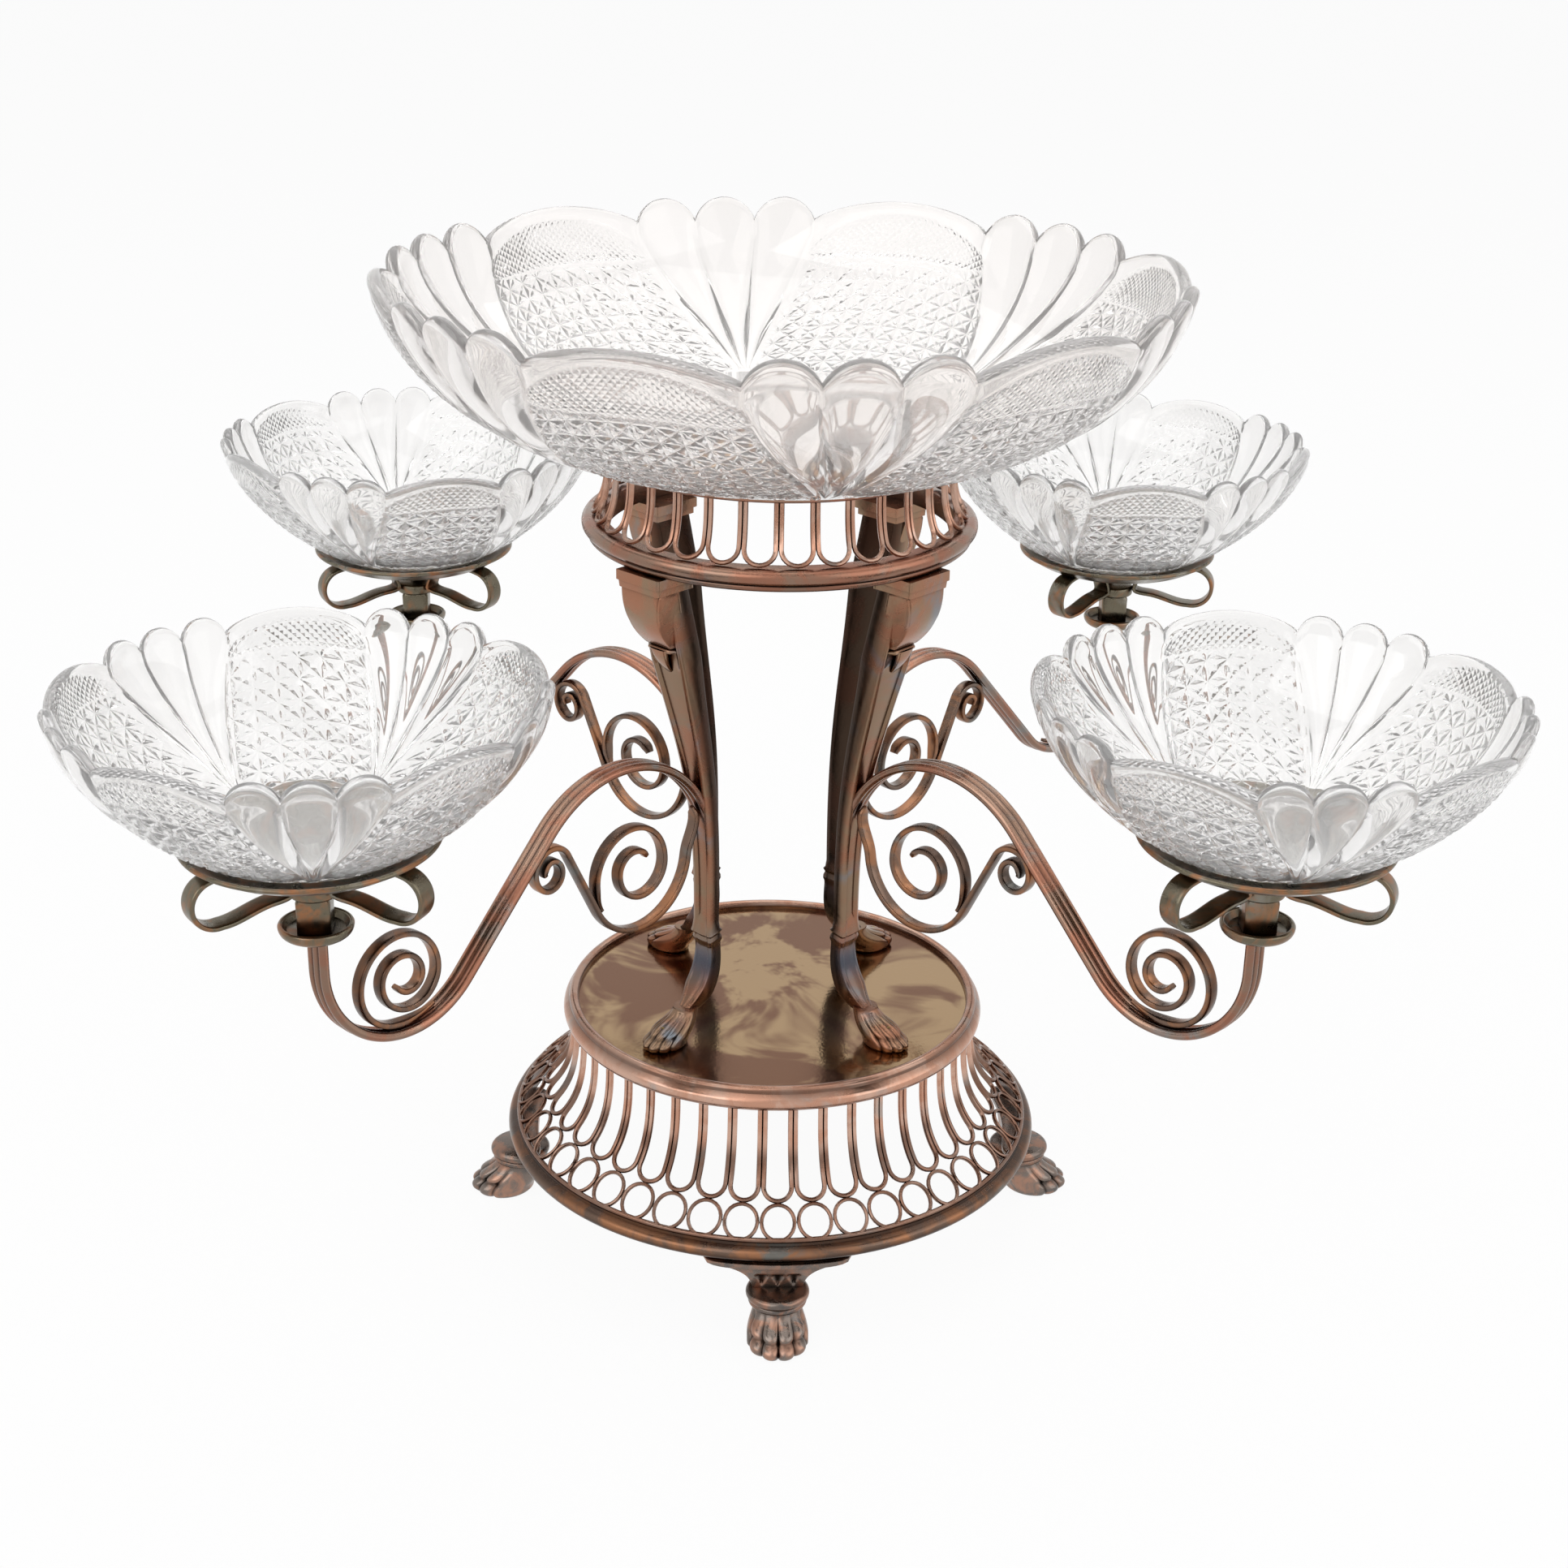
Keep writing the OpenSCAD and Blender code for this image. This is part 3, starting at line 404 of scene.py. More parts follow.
def hoops(wall, count, low, top, half_w, half_d, azimuth):
    """Hoops of wire bent to a U side by side round a wall, so that neighbours meet in double bars. Each
    leg keeps half a wire from the next hoop, and the foot is a half circle that starts at the length low.
    The first hoop stands at the azimuth."""
    length = along(wall)

    def half(s):
        """Half the width of a hoop's path at the length s up the wall."""
        return math.pi * np.interp(s, length, wall[:, 0]) / count - half_w

    centre = low + half_w + half(low)
    legs = np.linspace(top, centre, 15)
    foot = bow((0, centre), half(centre), 180, 360, 12)
    x = np.concatenate([-half(legs), foot[1:-1, 0], half(legs[::-1])])
    s = np.concatenate([legs, foot[1:-1, 1], legs[::-1]])
    first = math.radians(azimuth)
    return [(wire_on_wall(wall, x, s, half_w, half_d, first + 2 * math.pi * k / count), False)
            for k in range(count)]


ROW = np.array([(91.2, GALLERY_Z + 0.2), (81.2, 44.0)])
BASE_WALL = end_to_end(np.linspace(ROW[0], ROW[1], 13),
                       sweep_curve([ROW[1], (74.7, 49.7), (70.4, 55.5), (70.4, PLATFORM_Z)], 24))
BASE_HOOPS = 44


def base_gallery():
    """Sloping row of oval wire rings under a hollow curve of hoops, and a thin rail at the foot. The wires
    darken downwards."""
    row = np.linalg.norm(ROW[1] - ROW[0])
    across = math.pi * 86.2 / BASE_HOOPS - 0.68
    circle = bow((0, 0), 1, 0, 345, 23) * [across, row / 2 - 0.6] + [0, row / 2]
    first = math.radians(270)
    rings = [(wire_on_wall(BASE_WALL, circle[:, 0], circle[:, 1], 0.68, 0.8,
                           first + 2 * math.pi * k / BASE_HOOPS), True) for k in range(BASE_HOOPS)]
    upright = hoops(BASE_WALL, BASE_HOOPS, row - 0.5, along(BASE_WALL)[-1] + 0.2, 0.84, 0.85, 270)
    rail = [(lathe(bow((90.6, GALLERY_Z + 0.6), 0.9, 0, 330, 11), 160), True)]
    shells = upright + rings + rail
    piece("base_gallery_wires", "stand", ROSE, shells, ["base_gallery"],
          marks={"tarnish_and_shade": [0.68 * ease(p[..., 2], 62, 55) for p, ring in shells]})


def platform():
    """Lathes: a flat polished floor, and round it a rim of a bead, a groove, a half-round and a thin
    step. The crests carry painted highlights and the hollows painted shade."""
    floor = [(0.8, FLOOR_Z), (30, FLOOR_Z - 0.1), (60, FLOOR_Z), (69, FLOOR_Z), (69.4, FLOOR_Z - 1),
             (69, FLOOR_Z - 2), (40, FLOOR_Z - 2), (0.8, FLOOR_Z - 2)]
    piece("platform_floor", "stand", PATINA, [(lathe(floor, 160), False)], ["platform"])
    rim = end_to_end([(69, PLATFORM_Z), (69, FLOOR_Z - 1)],
                     bow((70.3, FLOOR_Z + 0.75), 1.75, 200, -15, 14),
                     bow((71.05, 76.6), 2.9, 62, -62, 14), [(72, 73.9), (71.6, PLATFORM_Z)])
    rim_z = rim[:, 1]
    # Painted highlights on the crests of the half-round, the bead and the foot step; the hollows between are
    # painted dark as shade
    painted_highlight = hump(rim_z, 76.9, 2.3) + 0.55 * hump(rim_z, 81.9, 0.8) + hump(rim_z, PLATFORM_Z, 0.4)
    piece("platform_rim", "stand", ROSE, [(lathe(rim, 160), True)], ["platform"],
          marks={"tarnish_and_shade": [0.8 - 0.8 * np.clip(painted_highlight, 0, 1)[:, None]]})


def paw(length, width, height, lean, neck, toes=4, spread=36.0):
    """Paw as ovals from the floor to the neck. The half length and half width shrink upwards to the
    neck's radius while the middle leans back. In front the radius dips between the toes by a folded wave
    of the direction, and two bell curves of the height swell the toe tips and the knuckles. Also gives
    the painted shade in the clefts and the dip behind the knuckles, and the painted shadow under the
    tread."""
    v = np.linspace(0, 1, 44)[:, None]
    way = np.linspace(-180, 180, 112, endpoint=False)[None]
    front = ease(np.abs(way), toes * spread / 2 + 14, toes * spread / 2 - 6)
    lobe = np.sqrt(np.clip(1 - 0.97 * (2 * ((way / spread) % 1) - 1) ** 2, 0, 1))
    fade = ease(v, 1.0, 0.55)
    grooves = 1 - 0.2 * (1 - lobe) * front * fade
    joints = 0.05 * hump(v, 0.2, 0.1) - 0.07 * hump(v, 0.38, 0.07) + 0.07 * hump(v, 0.56, 0.12)
    swell = 1 + front * fade * joints
    tread = 0.84 + 0.16 * np.sqrt(ease(v, -0.02, 0.12))
    body = 1 - ease(v, 0.3, 1.0)
    long = neck + (length - neck) * body
    wide = neck + (width - neck) * body
    a = np.radians(way)
    r = grooves * swell * tread
    x = -lean * ease(v, 0.1, 1.0) + long * r * np.cos(a)
    y = wide * r * np.sin(a)
    # Painted shade in the clefts between the toes and in the dip behind the knuckles
    dark = np.clip(0.95 * ease(lobe, 0.75, 0.3) * front * fade + 0.6 * hump(v, 0.38, 0.06) * front, 0, 0.95)
    # Painted shadow under the tread, where the paw meets the floor
    dark = np.maximum(dark, 0.75 * ease(v, 0.1, 0.0))
    return np.stack([x, y, height * v + 0 * a], -1), dark


FOOT_R = 97.6
ANKLE_R = 91.0
BRACKET_HALF, LEAF_R = 25.2, 90
BRACKET_Z, LIP_Z = 18.0, 25.6


def leaf_bracket():
    """Leaf under the base ring: bars across it, whose half width follows the leaf's edge from the collar
    up, bent to the ring's round. Three short darts are sunk in the front above the collar, widening
    upwards. Also gives how deep each point is sunk, as a share."""
    edge = end_to_end([(8.4, BRACKET_Z - 1.2), (8.5, BRACKET_Z)],
                      sweep_curve([(8.5, BRACKET_Z), (9, 22.3), (12.5, 24.8), (21.5, LIP_Z)], 22),
                      [(22, LIP_Z + 0.4)])
    half, z = edge[:, :1], edge[:, 1:]
    share = np.concatenate([np.linspace(-0.97, 0.97, 45), [1, 1], np.linspace(0.97, -0.97, 9),
                            [-1, -1]])[None]
    out = np.concatenate([np.full(45, 91.6), [91.2, 85.4], np.full(9, 85), [85.4, 91.2]])[None]
    y = share * half
    dart = 2.3 * np.clip((z - 18.6) / 3.6, 0.01, 1)
    sunk = sum(ease(np.abs(y - k * 5.2), dart, dart * 0.4 - 0.05) for k in (-1, 0, 1))
    sunk = sunk * (out > 91.5) * ease(z, 18.6, 19.4) * ease(z, 23, 22.3)
    r = out - 0.9 * sunk
    angle = y / LEAF_R
    return np.stack([r * np.cos(angle), r * np.sin(angle), z + 0 * y], -1), sunk


def foot(side, azimuth):
    """Paw, moulded collar, leaf bracket and lip."""
    toes, paw_shade = paw(11.2, 10.2, 13.6, 6.4, 7.6)
    toes = moved(toes, FOOT_R)
    collar = end_to_end([(1, 12.4), (7.4, 12.5)], bow((8.6, 13.8), 1.2, -100, 60, 7),
                        bow((9.0, 16.4), 1.6, -70, 80, 9), [(8.0, 18.1), (1, 18.3)])
    collar = moved(lathe(collar, 48), ANKLE_R)
    leaf, sunk = leaf_bracket()
    reach = BRACKET_HALF / LEAF_R * 180 / math.pi
    q = np.radians(np.linspace(-reach, reach, 25))
    tip = np.sqrt(np.clip(1.02 - (q / q.max()) ** 8, 0, 1))[:, None]
    out, up = rounded_bar(4.6, 1.25, 20, 5.0)
    r, z = 88.7 + out * tip, 26.7 + up * tip
    lip = np.stack([r * np.cos(q[:, None]), r * np.sin(q[:, None]), z], -1)
    shells = [(leaf, False), (toes, False), (collar, False), (lip, False)]
    # The paw's mark is its painted shade and shadow; the sunk darts darken with their depth
    piece("paw_foot_" + side, "stand", PAW_METAL,
          [(turned(p, azimuth), ring) for p, ring in shells], ["foot_" + side],
          marks={"tarnish_and_shade": [0.9 * np.clip(sunk, 0, 1), paw_shade, 0.25, 0.1]})


# Column

LEG_HEAD, LEG_KNEE, LEG_ANKLE = (56.8, 255.0), (47.4, 218.0), (33.6, 117.5)
LEG_LINE = end_to_end(sweep_curve([LEG_HEAD, (55.5, 250), (50, 229), LEG_KNEE], 10),
                      sweep_curve([LEG_KNEE, (38.5, 180), (32.5, 167.5), LEG_ANKLE], 56),
                      sweep_curve([LEG_ANKLE, (31.1, 104.5), (32.8, 94.5), (48, 87)], 34))


def leg(corner, azimuth):
    """Sabre leg: a bar with a sunk front panel carried down the leg's line, its width and depth drawing in
    with the square of the way down to the ankle, a half-round band at the ankle, and a paw."""
    line = LEG_LINE[LEG_LINE[:, 1] <= TOP_RING_Z + 0.1]
    z = line[:, 1:]
    knee_to_ankle = np.clip((LEG_KNEE[1] - z) / (LEG_KNEE[1] - LEG_ANKLE[1]), 0, 1)
    fade = (1 - knee_to_ankle) ** 2.2
    below = ease(z, 112, 96)
    tail = 1 - 0.45 * ease(z, 96, 88)
    width = (8 + 7 * fade + 0.8 * below) * tail
    depth = (5 + 4 * fade + 1.2 * below) * tail
    panel = ease(z, 221, 216) * ease(z, 119.5, 122)
    # Each point of the section: share of the width and mm in from it, share of the depth and mm, and
    # share of the panel's sinking
    half = np.array([[-0.5, 0.7, 0.5, 0, 0], [-0.5, 1.3, 0.5, 0.15, 0], [-0.5, 1.55, 0.5, 0, 0],
                     [-0.5, 2.1, 0.5, 0, 1], [-0.3, 1.2, 0.5, 0.12, 1], [-0.1, 0.4, 0.5, 0.18, 1]])
    mirror = half[::-1] * [-1, -1, 1, 1, 1]
    right = np.array([[0.5, -0.15, 0.5, -0.3, 0], [0.5, 0, 0.5, -0.9, 0], [0.5, 0, 0, 0, 0],
                      [0.5, 0, -0.5, 0.9, 0], [0.5, -0.25, -0.5, 0.25, 0]])
    rear = np.array([[0.5, -0.9, -0.5, 0, 0], [0.2, 0, -0.5, -0.1, 0], [-0.2, 0, -0.5, -0.1, 0],
                     [-0.5, 0.9, -0.5, 0, 0]])
    left = right[::-1] * [-1, -1, 1, 1, 1]
    w_share, w_in, d_share, d_in, sunk = np.concatenate([half, mirror, right, rear, left]).T
    side = w_share * width + w_in
    out = d_share * depth + d_in - sunk * panel * 1.0
    band = 0.8 * hump(z, 116.6, 0.9) + 0.6 * hump(z, 113.6, 1.1)
    side = side + np.sign(w_share) * (np.abs(w_share) == 0.5) * band
    out = out + np.sign(d_share) * band
    shaft = turned(carried(line, out, side), azimuth)
    # Painted shade: the back of the shaft and its sides darker than the front, the sides most above the
    # ankle; below the ankle the whole shaft is darker
    painted_side_shade = np.where(d_share < 0, 0.88, 0.7 * ((np.abs(w_share) == 0.5) & (np.abs(d_share) < 0.5)))
    tarnish_and_shade = np.maximum(painted_side_shade * (0.7 + 0.3 * ease(z, 112, 118)), 0.15 + 0.3 * ease(z, 112, 104))
    toes, paw_shade = paw(8.8, 6.5, 11.5, 9.5, 4.2, spread=34.0)
    toes = turned(moved(toes, 53, 0, FLOOR_Z), azimuth)
    piece("leg_" + corner + "_shaft", "stand", GOLDEN, [(shaft, False), (toes, False)],
          ["leg_" + corner], marks={"tarnish_and_shade": [tarnish_and_shade, np.maximum(paw_shade, 0.25)],
                                    "blueing": [0.85 * hump(z, 105, 8), 0.0]})


def capital(corner, azimuth):
    """Console with a bulging front that narrows downwards, a bead under it, a small tongue, and two
    steps on top."""
    front = sweep_curve([(55.6, 224.5), (60.5, 229), (64.6, 235), (63.4, 244)], 24)
    console = np.concatenate([front, [(62, 244.6), (54.5, 244.6), (48.6, 224)]])
    half = np.interp(console[:, 1], [224, 244], [5.8, 8.5])
    bead_line = np.linspace(-6.2, 6.2, 9)[:, None]
    q = np.linspace(0, 2 * math.pi, 16, endpoint=False)[None]
    taper = np.sqrt(np.clip(1.03 - (bead_line / 6.2) ** 6, 0, 1))
    bead = np.stack([53.2 + 2.6 * taper * np.cos(q), bead_line + 0 * q,
                     223.2 + 1.3 * taper * np.sin(q)], -1)
    tongue_line = sweep_curve([(55.2, 223.5), (54.6, 220), (52.6, 217), (50.4, 214.5)], 14)
    shrink = np.linspace(1, 0.25, 15)[:, None]
    out, side = rounded_bar(1.3, 3.6, 20, 3.0)
    tongue = carried(tongue_line, out * shrink, side * shrink)
    abacus = slab([(47.6, 246.6), (64.9, 246.6), (64.9, 249.9), (47.6, 249.9)], 9.5, 0.5)
    step = slab([(48.6, 244.2), (64.1, 244.2), (64.5, 246.7), (48.6, 246.7)], 8.9, 0.5)
    shells = [(slab(console, half, 0.7), False), (bead, False), (tongue, False), (abacus, False),
              (step, False)]
    piece("capital_" + corner + "_console", "stand", GOLDEN,
          [(turned(p, azimuth), ring) for p, ring in shells], ["capital_" + corner])


def top_ring():
    """Lathe of a large half-round over a smaller one."""
    profile = end_to_end([(57, TOP_RING_Z), (61.4, TOP_RING_Z)], bow((61.8, 251.2), 1.2, -90, 70, 8),
                         bow((62.3, 254.6), 2.5, -75, 70, 14), [(62.2, TOP_GALLERY_Z), (57, TOP_GALLERY_Z)])
    # Painted shade in the groove between the two rounds and at the ring's foot, over a light darkening of the
    # whole ring
    groove = 0.2 + hump(profile[:, 1], 252.2, 0.5) + 0.6 * hump(profile[:, 1], TOP_RING_Z, 0.9)
    piece("top_ring_moulding", "stand", COPPER, [(lathe(profile, 160), True)], ["top_ring"],
          marks={"tarnish_and_shade": [np.clip(groove, 0, 0.9)[:, None]]})


def top_gallery():
    """Hoops of wire in a hollow curve up from the top ring."""
    wall = sweep_curve([(61.7, TOP_GALLERY_Z), (58.7, 260.5), (56.2, 264), (56.2, SEAT_Z)], 24)
    shells = hoops(wall, 32, 0.1, along(wall)[-1] + 0.3, 0.8, 0.85, 273.4)
    piece("top_gallery_wires", "stand", ROSE, shells, ["top_gallery"],
          marks={"tarnish_and_shade": [0.15 + 0.35 * ease(p[..., 2], 264, 259) for p, ring in shells]})


def bowl_seat():
    """Lathe of a thin flat-topped wire ring."""
    profile = end_to_end([(53.6, SEAT_Z), (57, SEAT_Z)], bow((57.3, SEAT_Z + 1), 1, -80, 80, 10),
                         [(56.6, SEAT_Z + 2), (53.6, SEAT_Z + 2)])
    piece("bowl_seat_ring", "stand", COPPER, [(lathe(profile, 144), True)], ["bowl_seat"])


# Branches

def crossing(a, ra, b, rb, side):
    """Angle on circle a at which the line that crosses over to circle b leaves it."""
    d = b - a
    lean = math.acos((ra + rb) / np.linalg.norm(d))
    return math.degrees(math.atan2(d[1], d[0])) + side * math.degrees(lean)


def heading(angle):
    """Unit vector at an angle in degrees."""
    return np.array([math.cos(math.radians(angle)), math.sin(math.radians(angle))])


ARCH_END = crossing(ARCH_C, ARCH_BEND, TROUGH_C, TROUGH_BEND, 1)
CROSS_START = ARCH_C + ARCH_BEND * heading(ARCH_END)
CROSS_END = TROUGH_C - TROUGH_BEND * heading(ARCH_END)


def arm(corner, azimuth):
    """Arm: three round reeds side by side, the outline being the highest circle at each place across,
    carried along the arch, the straight, the trough and the riser. The reeds stand out less on the arch."""
    line = evenly(end_to_end(bow(ARCH_C, ARCH_BEND, 168, ARCH_END, 60), [CROSS_START, CROSS_END],
                             bow(TROUGH_C, TROUGH_BEND, ARCH_END + 180, 360, 60),
                             [(SOCKET_R, TROUGH_C[1]), (SOCKET_R, RISER_Z + 0.3)]), 150)
    q = np.linspace(0, 2 * math.pi, 64, endpoint=False)
    side = 4.05 * np.cos(q)
    reed = np.maximum.reduce([np.sqrt(np.clip(r * r - (side - c) ** 2, 0, None))
                              for r, c in ((1.55, 0), (1.45, 2.6), (1.45, -2.6))])
    plain = 1.55 * np.abs(np.sin(q)) ** 0.7
    share = (0.7 + 0.3 * ease(along(line), 45, 85))[:, None]
    out = np.sign(np.sin(q)) * (share * reed + (1 - share) * plain)
    # Painted shade in the valleys between the reeds and along the arm's underside
    groove = 0.8 * ease(reed, 1.25, 0.8) * (np.abs(side) < 3.4) + 0.25 * (np.sin(q) < 0)
    piece("arm_" + corner + "_bar", "stand", COPPER,
          [(turned(carried(line, out, side), azimuth), False)], ["arm_" + corner], sharp=60,
          marks={"tarnish_and_shade": [groove[None]]})


def strap(line, taper_first, steps):
    """Flat strap along a path, narrowing towards its first end over the length given and rounded at its
    last. Also gives the tarnish on its outer face."""
    line = evenly(line, steps)
    length = along(line)
    left = length[-1] - length
    full = (0.35 + 0.65 * ease(length, -0.1, taper_first)) * (0.7 + 0.3 * ease(left, -0.1, 2.5))
    out, side = rounded_bar(STRAP_T / 2, STRAP_W / 2, 16, 5.0)
    outside = 0.55 * (out < -0.6 * STRAP_T / 2) + 0 * line[:, :1]
    return carried(line, out * (0.4 + 0.6 * full)[:, None], side * full[:, None]), outside


def scroll_lines():
    """Paths of the three straps of a branch: arcs that meet end to end, each turn smaller than the last."""
    rest = TROUGH_BEND - ARM_T / 2 - STRAP_T / 2 - 0.05
    turn = 14.6
    c1 = TROUGH_C + (rest - turn) * heading(-78)
    c2 = c1 - [0.27 * turn, 0]
    c3 = c2 + [0.21 * turn, 0]
    c4 = c3 - [0.18 * turn, 0]
    trough = end_to_end(bow(TROUGH_C, rest, -112, -78, 10), bow(c1, turn, -78, 180, 60),
                        bow(c2, 0.73 * turn, 180, 360, 40), bow(c3, 0.52 * turn, 0, 180, 34),
                        bow(c4, 0.34 * turn, 180, 330, 24))
    loop, curl = 21.5, 7.2
    hang = ARCH_C + (ARCH_BEND - ARM_T / 2 - STRAP_T / 2 - 0.05) * heading(152)
    loop_c = ARCH_C + [loop - ARCH_BEND + 10.2, 4.3]
    along_arm = heading(ARCH_END - 90)
    curl_c = CROSS_START + 8 * along_arm - (curl + STRAP_T / 2 + ARM_T / 2 + 0.05) * heading(ARCH_END)
    leave = crossing(loop_c, loop, curl_c, curl, -1)
    back = leave - 30
    d2 = curl_c + 0.3 * curl * heading(back)
    d3 = d2 - 0.28 * curl * heading(back)
    first = loop_c + loop * heading(187)
    drop = sweep_curve([hang, hang + 7 * heading(242), first + 6 * heading(97), first], 10)
    outer = end_to_end(drop, bow(loop_c, loop, 187, 360 + leave, 70),
                       bow(curl_c, curl, leave + 180, back, 40),
                       bow(d2, 0.7 * curl, back, back - 180, 24),
                       bow(d3, 0.42 * curl, back - 180, back - 330, 16))
    r = loop - STRAP_T - 0.05
    e1 = loop_c + [r - 0.7 * loop, 0]
    e2 = e1 - [0.23 * loop, 0]
    e3 = e2 + [0.16 * loop, 0]
    inner = end_to_end(bow(loop_c, r, -32, 0, 10), bow(e1, 0.7 * loop, 0, 180, 44),
                       bow(e2, 0.47 * loop, 180, 360, 36), bow(e3, 0.31 * loop, 0, 150, 24))
    return trough, outer, inner


def scrolls(corner, azimuth):
    """The three strap scrolls of a branch."""
    trough, outer, inner = scroll_lines()
    for kind, line, first, steps in (("trough_scroll", trough, 14, 150), ("leg_scroll", outer, 3, 170),
                                     ("inner_scroll", inner, 10, 120)):
        band, outside = strap(line, first, steps)
        piece(kind + "_" + corner + "_strap", "stand", BROWN,
              [(turned(band, azimuth), False)], [kind + "_" + corner], marks={"tarnish_and_shade": [outside]})


def socket(corner, azimuth):
    """Cup on the end of the arm, and a square block in it bored for the carrier's peg. The block is a lathe
    whose outside radius follows a rounded square."""
    cup = end_to_end([(1, RISER_Z), (8.6, RISER_Z)],
                     sweep_curve([(8.6, RISER_Z), (10.4, 171.6), (11, 173), (11, 174.3)], 8),
                     bow((10.2, 174.3), 0.7, 0, 180, 8), [(9.0, 173.4), (8.4, 172.9), (1, 172.8)])
    cup = lathe(cup, 64)
    angle = np.linspace(0, 2 * math.pi, 64, endpoint=False) + math.pi / 64
    across, along_side = np.abs(np.cos(angle - math.pi / 4)), np.abs(np.sin(angle - math.pi / 4))
    square = (across ** 9 + along_side ** 9) ** (-1 / 9)
    profile = np.array([(4.6, 172.6, 1), (5.0, 173.2, 1), (4.9, 178, 1), (5.0, 182.6, 1), (4.7, BLOCK_TOP, 1),
                        (3.55, BLOCK_TOP, 0), (3.55, 177, 0), (3.55, 174, 0)])
    r = profile[:, :1] * (1 + profile[:, 2:] * (square - 1))
    block = np.stack([r * np.cos(angle), r * np.sin(angle), profile[:, 1:2] + 0 * angle], -1)
    shells = [(cup, False), (block, True)]
    piece("socket_" + corner + "_cup", "stand", BRONZE,
          [(turned(moved(p, SOCKET_R), azimuth), ring) for p, ring in shells], ["socket_" + corner])


# Carriers

def on_carrier(points, corner, azimuth):
    """Points about a carrier's own axis, turned to its place in the socket."""
    return turned(moved(turned(points, CARRIER_TURNS[corner]), SOCKET_R), azimuth)


def carrier(corner, azimuth):
    """Hub with its peg, three bent strap loops a third of a turn apart, and a saucer with a beaded rim."""
    body = "carrier_" + corner
    hub = lathe(end_to_end([(0.5, 177), (3.4, 177), (3.5, HUB_Z), (6.4, HUB_Z)],
                           bow((6.2, HUB_Z + 1), 1, -80, 0, 4), bow((6.2, HUB_Z + 3), 1, 0, 80, 4),
                           [(5, HUB_Z + 4), (0.5, HUB_Z + 4)]), 48)
    piece("carrier_hub_" + corner + "_turned", body, BRONZE,
          [(on_carrier(hub, corner, azimuth), False)], ["carrier_hub_" + corner])
    far = np.array([30.3, 189.6])
    low = far + LOOP_R * heading(-100)
    line = end_to_end(sweep_curve([(10.7, DISH_Z + 0.6), (10.2, 188), (3.2, 186), (13.2, 185.4)], 20),
                      sweep_curve([(13.2, 185.4), (19, 185), (24, 182), low], 12),
                      bow(far, LOOP_R, -100, 80, 26),
                      sweep_curve([far + LOOP_R * heading(80), (29, 197.6), (27, 197.4),
                                   (24.5, DISH_Z + 0.5)], 6))
    line = evenly(line, 70)
    out, side = rounded_bar(0.8, 3.5, 18, 5.0)
    loop = carried(line, out, side)
    piece("carrier_straps_" + corner + "_loops", body, BRONZE,
          [(on_carrier(turned(loop, 120 * k), corner, azimuth), False) for k in range(3)],
          ["carrier_straps_" + corner])
    profile = end_to_end([(0.8, DISH_Z), (26.4, DISH_Z)],
                         sweep_curve([(26.4, DISH_Z), (31, 197), (34, 199.6), (36.6, 201)], 8),
                         bow((36.8, 201.9), 0.75, -80, 130, 10),
                         sweep_curve([(35.6, 202.3), (33, 200.6), (30, 198.5), (26, 198.2)], 8),
                         [(0.8, 198.2)])
    piece("carrier_dish_" + corner + "_saucer", body, BRONZE,
          [(on_carrier(lathe(profile, 96), corner, azimuth), False)], ["carrier_dish_" + corner])


# Glass

def folded(x, pitch):
    """Folded wave: 0 at every multiple of the pitch, rising evenly to half a pitch between."""
    return pitch / 2 - np.abs(x % pitch - pitch / 2)


def tab_drop(x, half, notch):
    """Drop of a round-topped tab from its crown at the distance x from its middle: a circle that has
    dropped by the notch at the half width."""
    size = (half ** 2 + notch ** 2) / (2 * notch)
    return size - np.sqrt(size ** 2 - np.clip(np.abs(x), 0, half) ** 2)


